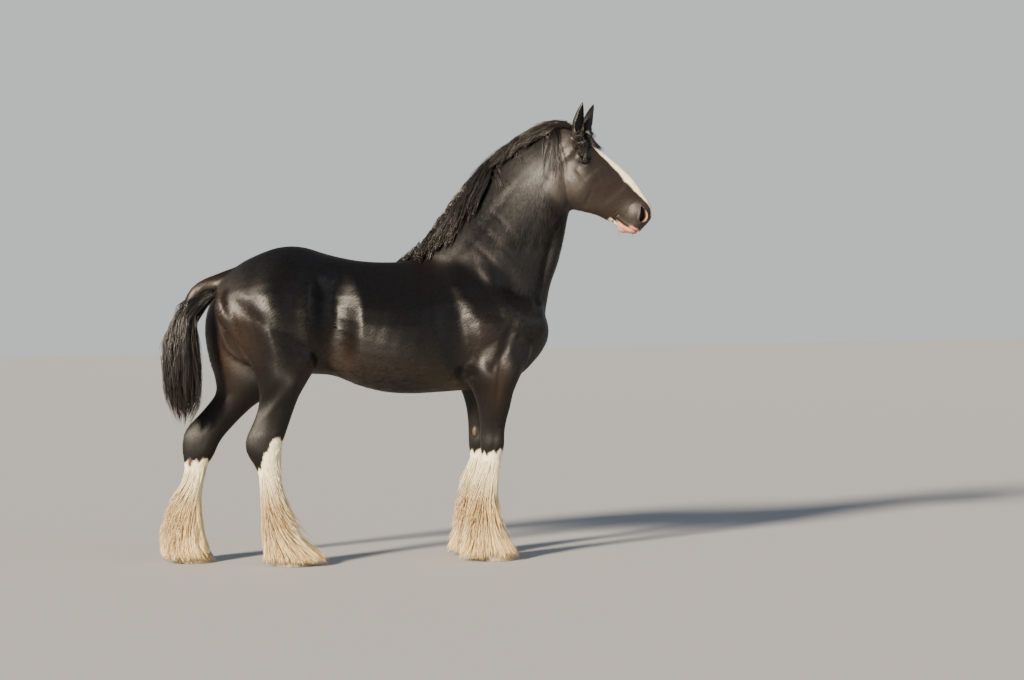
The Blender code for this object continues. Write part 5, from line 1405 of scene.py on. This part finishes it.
def mane_wisps(surface):
    """Fine loose strands: behind the jaw, down the neck, and loops that stand off the crest."""
    rng = np.random.default_rng(45)
    rows = 10
    jaw = 0.73 + 0.09 * rng.random(20)
    side = 0.40 + 0.45 * rng.random(14)
    loops = 0.40 + 0.20 * rng.random(26)
    share = np.concatenate([jaw, side, loops])
    kind = np.repeat([0, 1, 2], [20, 14, 26])
    count = len(share)
    start = roots_on_crest(share, -0.022 + 0.014 * rng.random(count))
    ways = ((0.15, -0.8, 0.1), (0.1, -0.7, 0.1), (-0.1, -0.35, 0.9))
    falls = ((0.02, -0.05, -1.0), (0.42, -0.03, -0.9), (-0.6, -0.30, -0.7))
    heading = np.array(ways)[kind] + 0.12 * rng.normal(size=(count, 3))
    drift = np.array(falls)[kind] + 0.10 * rng.normal(size=(count, 3))
    length = np.array([0.27, 0.16, 0.20])[kind] * (0.75 + 0.5 * rng.random(count))
    rise = np.array([0.004, 0.003, 0.030])[kind] * (0.5 + rng.random(count))
    lift = np.array([0.005, 0.003, 0.026])[kind] * (0.5 + rng.random(count))
    guides = arched(surface, start, heading, drift, rise, length, rows, lift, bend=0.30, slack=0.012)
    return tufted(surface, guides, rng, per=7, spread=0.008, tip_spread=0.010, width=0.0015,
                  wave=0.007, waves=1.3, lift=0.002)


def forelock(surface):
    """Hair from the poll that falls between the ears, most of it over the right temple."""
    rng = np.random.default_rng(47)
    groups, rows = 84, 9
    right = rng.random(groups) < 0.74
    across = np.where(right, -0.010 - 0.026 * rng.random(groups), -0.020 + 0.045 * rng.random(groups))
    down = np.where(right, -0.005 + 0.080 * rng.random(groups), -0.010 + 0.040 * rng.random(groups))
    start = np.array([head_point(u, 0.036, w) for u, w in zip(down, across)])
    sway = np.where(right, -0.50 - 0.50 * rng.random(groups), -0.10 + 0.35 * rng.random(groups))
    heading = FACE_DOWN * 0.3 + FACE_OUT * 0.35 + vectors(0.0, 1.0 * sway, 0.0)
    drift = np.where(right[:, None], np.array([-0.06, 0.0, -1.0]), FACE_DOWN - FACE_OUT * 0.2)
    drift = drift + vectors(0.06 * rng.normal(size=groups), 0.6 * sway, 0.0)
    length = np.where(right, 0.095, 0.11) + 0.055 * rng.random(groups)
    guides = arched(surface, start, heading, drift, 0.002 + 0.008 * rng.random(groups), length, rows,
                    0.003 + 0.010 * rng.random(groups), 0.40, 0.006)
    return tufted(surface, guides, rng, per=23, spread=0.012, tip_spread=0.010, width=0.0021,
                  wave=0.006, waves=1.2, lift=0.002)


WHISKER_AREAS = (
    # Middle on the face as u, v, w; spread along u, v, w; count; length
    ((0.590, -0.150, 0.030), (0.050, 0.016, 0.026), 18, 0.022),
    ((0.545, -0.195, 0.018), (0.040, 0.012, 0.018), 12, 0.024),
    ((0.625, -0.075, 0.050), (0.022, 0.040, 0.016), 10, 0.018),
    ((0.150, -0.085, 0.085), (0.035, 0.014, 0.010), 5, 0.030),
)


def whiskers(surface):
    """Feelers round the lips, nostrils and eyes, and the lashes of the upper lids."""
    rng = np.random.default_rng(71)
    rows = 5
    starts, ways, lengths, widths = [], [], [], []
    for side in BOTH:
        for middle, spread, count, length in WHISKER_AREAS:
            for _ in range(count):
                u, v, w = np.array(middle) + np.array(spread) * (rng.random(3) * 2 - 1)
                near, normal, *_ = surface.tree.find_nearest(Vector(head_point(u, v, w * side)))
                starts.append(np.array(near))
                ways.append(np.array(normal) + 0.35 * rng.normal(size=3) + np.array([0.2, 0.0, -0.35]))
                lengths.append(length * (0.6 + 0.6 * rng.random()))
                widths.append(0.0004)
        centre, ahead, up, out = eye_frame(side)
        half, high, _ = EYE_OPENING
        for share in np.linspace(-0.9, 0.9, 40):
            lid = centre + ahead * half * share + up * high * (1 - share**2) ** 0.8
            ball = math.sqrt(EYE_RADIUS**2 - (half * share) ** 2 - high**2 * (1 - share**2))
            lid = lid + out * (ball + LID_THICK)
            starts.append(lid)
            ways.append(out * 1.0 + up * 0.10 + ahead * 0.5 * share + np.array([0.0, 0.0, -0.55]))
            lengths.append(0.012 + 0.007 * rng.random())
            widths.append(0.0008)
    starts, ways = np.array(starts), unit(np.array(ways))
    lengths, widths = np.array(lengths), np.array(widths)
    t = np.linspace(0, 1, rows)[None, :, None]
    paths = starts[:, None] - ways[:, None] * 0.002 + ways[:, None] * lengths[:, None, None] * t
    paths[..., 2] -= 0.25 * lengths[:, None] * t[..., 0] ** 2
    outward = np.repeat(unit(np.cross(ways, np.array([0.3, 0.1, 0.9])))[:, None], rows, axis=1)
    return paths, outward, widths, np.broadcast_to(BLACK, paths.shape).copy()


# Outline of the tail: height, inner x, outer x, half width
TAIL_OUTLINE = (
    (1.540, -1.130, -1.190, 0.040),
    (1.440, -1.175, -1.255, 0.055),
    (1.340, -1.175, -1.305, 0.068),
    (1.220, -1.142, -1.350, 0.080),
    (1.000, -1.120, -1.342, 0.086),
    (0.880, -1.122, -1.325, 0.072),
    (0.770, -1.195, -1.270, 0.034),
)


def tail(seed):
    """Long hair from all round the dock, bowed out behind it and hanging to a loose end."""
    rng = np.random.default_rng(seed)
    groups, rows, per = 165, 10, 15
    line = np.array([((row[0] + row[2]) / 2, (row[1] + row[3]) / 2) for row in DOCK[1:]])
    place = np.linspace(0, 1, len(line))
    angle = rng.random(groups) * 2 * math.pi
    down = rng.random(groups) ** 0.9
    x, z = (np.interp(down, place, line[:, k]) for k in (0, 1))
    root = vectors(x + 0.018 * np.cos(angle), 0.020 * np.sin(angle), z)
    tip_z = 0.765 + 0.30 * (1 - down) * rng.random(groups) + 0.30 * rng.random(groups) ** 1.5
    reach = np.sqrt(rng.random(groups)) * 0.96
    guides = np.empty((groups, rows, 3))
    for k, t in enumerate(np.linspace(0, 1, rows)):
        z = root[:, 2] + (tip_z - root[:, 2]) * t
        inner, outer, half = outline_at(TAIL_OUTLINE, z)
        tx = (inner + outer) / 2 + (inner - outer) / 2 * np.cos(angle) * reach
        ty = half * np.sin(angle) * reach
        blend = min(1.0, t / 0.45)
        blend = blend * blend * (3 - 2 * blend)
        guides[:, k] = led_to(root, tx, ty, z, blend)
    along = unit(np.gradient(guides, axis=1))
    owner = np.repeat(np.arange(groups), per)
    count = len(owner)
    t = np.linspace(0, 1, rows)[None, :, None]
    offset = unit(rng.normal(size=(count, 3))) * (rng.random(count) ** 0.5)[:, None]
    paths = guides[owner] + offset[:, None] * (0.012 - 0.005 * t)
    stretch = (0.82 + 0.20 * rng.random(count))[:, None, None]
    paths = paths[:, :1] + (paths - paths[:, :1]) * stretch
    phase = (rng.random(groups) * WAVE_TURN)[owner][:, None, None]
    wave = 0.007 * np.sin(phase + 0.5 * rng.normal(size=(count, 1, 1)) + 9.0 * t) * np.minimum(1, 2 * t)
    paths = paths + unit(np.cross(along, np.array([0.2, 1.0, 0.1])))[owner] * wave
    paths[..., 2] = np.maximum(paths[..., 2], 0.752)
    radial = vectors(np.cos(angle), np.sin(angle), 0.2)
    outward = np.repeat(unit(radial)[owner][:, None], rows, axis=1)
    widths = 0.0031 * (0.6 + 0.8 * rng.random(count))
    tone = rng.random(groups)[owner][:, None] * 0.5 + 0.5 * rng.random(count)[:, None]
    share = np.linspace(0, 1, rows)[None]
    colours = mix(BLACK, TAIL_END, np.clip(tone * share**1.2 * 1.1, 0, 1))
    return paths, outward, widths, colours


def long_strands(name, strands, flatness, places_of, look):
    paths, outward, widths, colours = strands
    made = strand_mesh(name, paths, outward, widths, widths * flatness, colours, places_of(paths))
    return dress(made, look, "long_hair")


def whisker_places(paths):
    return cylinder_place(paths[:, 0], *COAT["coat_head"][3:], (0, 0, 1))


def tail_places(paths):
    return cylinder_place(paths[:, 0], (-1.0, 0, 1.65), (-1.25, 0, 1.15), (-1, 0, 0))


def mane_places(paths):
    """Places on an unwrap of the crest: along it, and how far to the side the root lies."""
    root = paths[:, 0]
    line = np.array([row[:2] for row in NECK])
    along = np.interp(root[:, 0], line[:, 0], np.linspace(0, 1, len(line)))
    return np.clip(np.stack([along, 0.5 + root[:, 1] / 0.12], 1), 0, 1)


# Looks
COAT_ROUGHNESS = 0.42
COAT_SPECULAR = 0.36
# Scale of the coat's fine grain and of its locks, and how far each is drawn out
COAT_GRAINS = ((420.0, 9.0), (135.0, 8.0))
# The lie of the coat in the side view, in degrees: the body's, then that of the other parts
BODY_LIE_DEG = -31.0
PART_LIES_DEG = (("leg_share", -90.0), ("head_share", 45.0), ("neck_share", -64.0))


def material(name):
    """A new material, its node tree and its shader."""
    made = bpy.data.materials.new(name)
    made.use_nodes = True
    return made, made.node_tree, made.node_tree.nodes["Principled BSDF"]


def plug(tree, target, inputs):
    """Sets a node's inputs: an output is linked, and anything else is the value itself."""
    for name, value in inputs.items():
        if isinstance(value, bpy.types.NodeSocket):
            tree.links.new(value, target.inputs[name])
        else:
            target.inputs[name].default_value = value


def node(tree, kind, output, inputs, **settings):
    """An output of a new node."""
    made = tree.nodes.new("ShaderNode" + kind)
    for name, value in settings.items():
        setattr(made, name, value)
    plug(tree, made, inputs)
    return made.outputs[output]


def attribute(tree, name, output="Fac"):
    return node(tree, "Attribute", output, {}, attribute_name=name)


def object_place(tree):
    return node(tree, "TexCoord", "Object", {})


def ramp(tree, factor, *stops):
    """Colours over a factor. Each stop is a place and a colour, the two ends first."""
    made = tree.nodes.new("ShaderNodeValToRGB")
    elements = made.color_ramp.elements
    for i, (place, colour) in enumerate(stops):
        stop = elements[i] if i < 2 else elements.new(place)
        stop.position = place
        stop.color = (*colour, 1)
    tree.links.new(factor, made.inputs["Fac"])
    return made.outputs["Color"]


def streaks(tree, turn_deg, scale, drawn_out):
    """Fine grain drawn out along a direction in the side view, as short hair is."""
    place = node(tree, "Mapping", "Vector", {
        "Vector": object_place(tree),
        "Rotation": (0.0, math.radians(turn_deg), 0.0),
        "Scale": (drawn_out, 1.0, 1.0),
    }, vector_type="TEXTURE")
    return node(tree, "TexNoise", "Fac", {"Vector": place, "Scale": scale, "Detail": 3.0})


def lying_streaks(tree, scale, drawn_out):
    """Streaks that follow the lie of the coat on the body, legs, head and neck."""
    grain = streaks(tree, BODY_LIE_DEG, scale, drawn_out)
    for name, turn_deg in PART_LIES_DEG:
        own = streaks(tree, turn_deg, scale, drawn_out)
        grain = node(tree, "Mix", "Result", {"Factor": attribute(tree, name), "A": grain, "B": own})
    return grain


def toned(tree, grain, low, high, spread):
    """The stored colour, made darker or lighter by a grain."""
    factor = node(tree, "MapRange", "Result", {
        "Value": grain, "From Min": low, "From Max": high, "To Min": 1 - spread, "To Max": 1 + spread,
    })
    colour = attribute(tree, "coat_colour", "Color")
    return node(tree, "VectorMath", "Vector", {0: colour, "Scale": factor}, operation="SCALE")


def skin_material():
    """Short glossy coat: its stored colour, with hair-fine streaks that follow the lie of each part."""
    made, tree, shader = material("coat_skin")
    grain, locks = (lying_streaks(tree, scale, drawn_out) for scale, drawn_out in COAT_GRAINS)
    relief = node(tree, "Bump", "Normal", {"Height": grain, "Strength": 0.60, "Distance": 0.0010})
    waves = node(tree, "Bump", "Normal", {
        "Height": locks, "Strength": 0.34, "Distance": 0.0035, "Normal": relief,
    })
    rough = COAT_ROUGHNESS - 0.19
    bare, on_legs = attribute(tree, "bare"), attribute(tree, "leg_share")
    for source, share in ((bare, 0.28), (grain, 0.20), (locks, 0.18), (on_legs, 0.13)):
        rough = node(tree, "Math", "Value", {0: source, 1: share, 2: rough}, operation="MULTIPLY_ADD")
    colour = toned(tree, grain, 0.30, 0.70, 0.30)
    plug(tree, shader, {"Base Color": colour, "Normal": waves, "Roughness": rough})
    coat_gloss(tree, shader, COAT_SPECULAR)
    lie_gloss(tree, shader)
    return made


def lie_gloss(tree, shader):
    """Stretches the gloss across the hairs, so that it runs in bands over the body as on a real coat."""
    plug(tree, shader, {"Anisotropic": 0.70, "Tangent": attribute(tree, "across", "Vector")})


def coat_gloss(tree, shader, specular):
    plug(tree, shader, {
        "Specular IOR Level": specular,
        "Specular Tint": (1.0, 0.98, 0.96, 1.0),
        "Sheen Weight": 0.015,
        "Sheen Roughness": 0.40,
        "Sheen Tint": (0.95, 0.75, 0.55, 1.0),
    })


def hair_material(name, roughness, specular, grain_scale):
    """Long hair: its stored colour, varied by fine grain, with a silky gloss."""
    made, tree, shader = material(name)
    grain = node(tree, "TexNoise", "Fac", {"Vector": object_place(tree), "Scale": grain_scale, "Detail": 3.0})
    plug(tree, shader, {"Base Color": toned(tree, grain, 0.25, 0.75, 0.22), "Roughness": roughness})
    coat_gloss(tree, shader, specular)
    return made


def eye_material():
    made, tree, shader = material("eye_wet")
    plug(tree, shader, {
        "Base Color": attribute(tree, "eye_colour", "Color"),
        "Roughness": 0.10,
        "Specular IOR Level": 0.25,
        "Coat Weight": 0.08,
        "Coat Roughness": 0.02,
    })
    return made


def horn_material():
    """Pale hoof horn with growth rings and fine upright lines."""
    made, tree, shader = material("hoof_horn")
    place = object_place(tree)
    upright = node(tree, "Mapping", "Vector", {"Vector": place, "Scale": (1.0, 1.0, 0.06)})
    lines = node(tree, "TexNoise", "Fac", {"Vector": upright, "Scale": 60.0})
    rings = node(tree, "TexWave", "Fac", {
        "Vector": place, "Scale": 16.0, "Distortion": 1.2,
    }, bands_direction="Z")
    relief = node(tree, "Bump", "Normal", {"Height": rings, "Strength": 0.4, "Distance": 0.001})
    colour = ramp(tree, lines, (0.0, (0.16, 0.11, 0.07)), (1.0, (0.52, 0.42, 0.29)))
    plug(tree, shader, {"Base Color": colour, "Normal": relief, "Roughness": 0.45})
    return made


def floor_material():
    made, tree, shader = material("pale_floor")
    noise = node(tree, "TexNoise", "Fac", {"Scale": 3.0})
    colour = ramp(tree, noise, (0.0, (0.41, 0.405, 0.40)), (1.0, (0.44, 0.435, 0.43)))
    plug(tree, shader, {"Base Color": colour, "Roughness": 0.8})
    return made


def dress(made, look, slot, *nodes):
    """Gives a piece its material, rides it on the body and hides the solids it stands for."""
    made.data.materials.clear()
    made.data.materials.append(look)
    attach(made, "root")
    if nodes:
        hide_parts(*nodes)
    return made


# Colours of the eye: the dark edge of its white, the iris and the pupil
EYE_WHITE = np.array([0.016, 0.010, 0.008])
IRIS = np.array([0.022, 0.010, 0.005])
PUPIL = np.array([0.002, 0.002, 0.003])


def make_eye(side, look):
    """A wet eyeball with a dark brown iris and a wide pupil, bulging a little at the cornea."""
    name = "eyeball_right" if side == NEAR_SIDE else "eyeball_left"
    centre, ahead, up, out = eye_frame(side)
    shape = bmesh.new()
    bmesh.ops.create_uvsphere(shape, u_segments=64, v_segments=48, radius=1.0)
    mesh = bpy.data.meshes.new(name)
    shape.to_mesh(mesh)
    shape.free()
    made = object_of(name, mesh)
    ball = points_of(made)
    a, b, c = ball[:, 0], ball[:, 1], ball[:, 2]
    bulge = 1 + 0.05 * smoothstep(c, 0.55, 1.0)
    radius = EYE_RADIUS * bulge
    points = centre + (np.outer(a * radius, ahead) + np.outer(b * radius, up) + np.outer(c * radius, out))
    set_points(made, turned(points))
    pupil = smoothstep(1.0 - np.hypot(a / 0.46, b / 0.22), -0.06, 0.06)
    iris = smoothstep(1.0 - np.hypot(a / 0.70, b / 0.62), -0.05, 0.05)
    colour = mix(mix(EYE_WHITE, IRIS, iris), PUPIL, pupil)
    store_colour(made, colour, "eye_colour")
    made.data.shade_smooth()
    return dress(made, look, "eye", "eye_right" if side == NEAR_SIDE else "eye_left")


def make_hoof(leg, look):
    """A hoof of horn: round in front, with low growth rings, sloping out to a flat sole."""
    toe, heel, y = HOOVES[leg]
    # Height, how far the toe and heel stand back, half width
    shape = ((0.0, 0.000, 0.004, 0.104), (0.012, 0.007, 0.003, 0.103),
             (HOOF_TOP_Z - 0.014, 0.042, 0.010, 0.086), (HOOF_TOP_Z, 0.050, 0.016, 0.078))
    rings = [ring((toe - 0.004, 0.0, heel + 0.008, 0.0, y, 0.072, 0.100, 0.062), HOOF_SIDES, HOOF_POWER)]
    for i, (z, toe_back, heel_back, half) in enumerate(smooth_rows(shape, 8)):
        half = half + 0.0008 * math.sin(i * 1.9)
        outline = (toe - toe_back, z, heel + heel_back, z, y)
        rings.append(ring((*outline, half * 0.72, half, half * 0.62), HOOF_SIDES, HOOF_POWER))
    rings[1] = rings[1].copy()
    rings[1][:, 2] = 0.0015
    made = loft("horn_" + leg, rings)
    made.data.shade_smooth()
    made.data.set_sharp_from_angle(angle=math.radians(50))
    return dress(made, look, "hoof_horn", "hoof_" + leg)


# Camera, as in the photo: where it stands, how it looks, and its picture's size
CAMERA_DISTANCE = 14.0
CAMERA_HEIGHT = 1.44
CAMERA_BEHIND_DEG = 4.6
PICTURE = (1024, 680)
FOCAL_PIXELS = 2506.0
HORSE_PIXEL_X, LEVEL_PIXEL_Y = 404, 300
CAMERA_ROLL = -0.0155


def make_camera():
    behind = math.radians(CAMERA_BEHIND_DEG)
    place = Vector((-CAMERA_DISTANCE * math.sin(behind), -CAMERA_DISTANCE * math.cos(behind), CAMERA_HEIGHT))
    yaw = behind + math.atan((PICTURE[0] / 2 - HORSE_PIXEL_X) / FOCAL_PIXELS)
    pitch = math.atan((PICTURE[1] / 2 - LEVEL_PIXEL_Y) / FOCAL_PIXELS)
    ahead = Vector((math.sin(yaw) * math.cos(pitch), math.cos(yaw) * math.cos(pitch), -math.sin(pitch)))
    level = Vector((math.cos(yaw), -math.sin(yaw), 0.0))
    above = level.cross(ahead)
    c, s = math.cos(CAMERA_ROLL), math.sin(CAMERA_ROLL)
    right, up = level * c + above * s, above * c - level * s
    lens = bpy.data.cameras.new("camera")
    lens.sensor_width = 36.0
    lens.lens = FOCAL_PIXELS / PICTURE[0] * lens.sensor_width
    made = object_of("camera", lens)
    turn = Matrix((right, up, -ahead)).transposed().to_4x4()
    made.matrix_world = Matrix.Translation(place) @ turn
    bpy.context.scene.camera = made


def soft_sun(name, source, energy, spread_deg, colour):
    """A wide, far studio lamp that shines from a direction."""
    light = bpy.data.lights.new(name, "SUN")
    light.energy = energy
    light.angle = math.radians(spread_deg)
    light.color = colour
    made = object_of(name, light)
    made.location = Vector(source) * 10
    made.rotation_euler = (-Vector(source)).to_track_quat("-Z", "Y").to_euler()


def make_stage():
    bpy.ops.mesh.primitive_plane_add(size=120.0, location=(0, 0, 0))
    floor = bpy.context.object
    floor.name = "floor"
    floor.data.materials.append(floor_material())
    world = bpy.data.worlds.new("studio")
    world.use_nodes = True
    tree = world.node_tree
    height = node(tree, "SeparateXYZ", "Z", {"Vector": node(tree, "TexCoord", "Generated", {})})
    low, high, middle = (0.14, (0.66, 0.67, 0.68)), (0.75, (0.10, 0.13, 0.19)), (0.38, (0.30, 0.34, 0.40))
    sky = ramp(tree, height, low, high, middle)
    plug(tree, tree.nodes["Background"], {"Color": sky})
    bpy.context.scene.world = world
    soft_sun("key", (-0.72, -0.70, 0.42), 11.5, 9.0, (1.0, 0.86, 0.68))
    soft_sun("fill", (0.75, -0.60, 0.50), 0.35, 40.0, (0.75, 0.86, 1.0))


def main():
    skin = make_skin()
    surface = Surface(skin)
    points, normals = surface.points, surface.normals
    colour, bare = coat_colour(points)
    store_colour(skin, colour)
    store(skin, "bare", "FLOAT", bare)
    store_across(skin, points, normals)
    for name, share in part_shares(points).items():
        store(skin, name, "FLOAT", share)
    set_points(skin, turned(points))
    skin.data.shade_smooth()
    coat = skin_material()
    tuft = hair_material("coat_tufts", COAT_ROUGHNESS + 0.04, COAT_SPECULAR * 0.7, 400.0)
    lie_gloss(tuft.node_tree, tuft.node_tree.nodes["Principled BSDF"])
    long_hair = hair_material("long_hair", 0.36, 0.80, 300.0)
    silk = hair_material("feather_hair", 0.60, 0.15, 300.0)
    dress(skin, coat, "coat_black", "head", "neck", "torso", "tail", "ear_right", "ear_left",
          *[part + leg for part in ("upper_", "lower_") for leg in LEGS])
    for name in COAT:
        dress(short_coat(surface, name), tuft, "coat_black")
    manes = (("mane", mane), ("mane_back_flow", mane_back_flow), ("mane_comb", mane_comb),
             ("mane_wisps", mane_wisps), ("forelock", forelock))
    for name, make in manes:
        long_strands(name, make(surface), MANE_FLATNESS, mane_places, long_hair)
    long_strands("whiskers", whiskers(surface), 1.0, whisker_places, long_hair)
    for name, seed in (("tail_hair", 53), ("tail_hair_under", 59)):
        long_strands(name, tail(seed), MANE_FLATNESS, tail_places, long_hair)
    for leg in LEGS:
        dress(feather(surface, leg), silk, "feather")
    wet, horn = eye_material(), horn_material()
    for side in BOTH:
        make_eye(side, wet)
    for leg in HOOVES:
        make_hoof(leg, horn)
    make_stage()
    make_camera()


main()
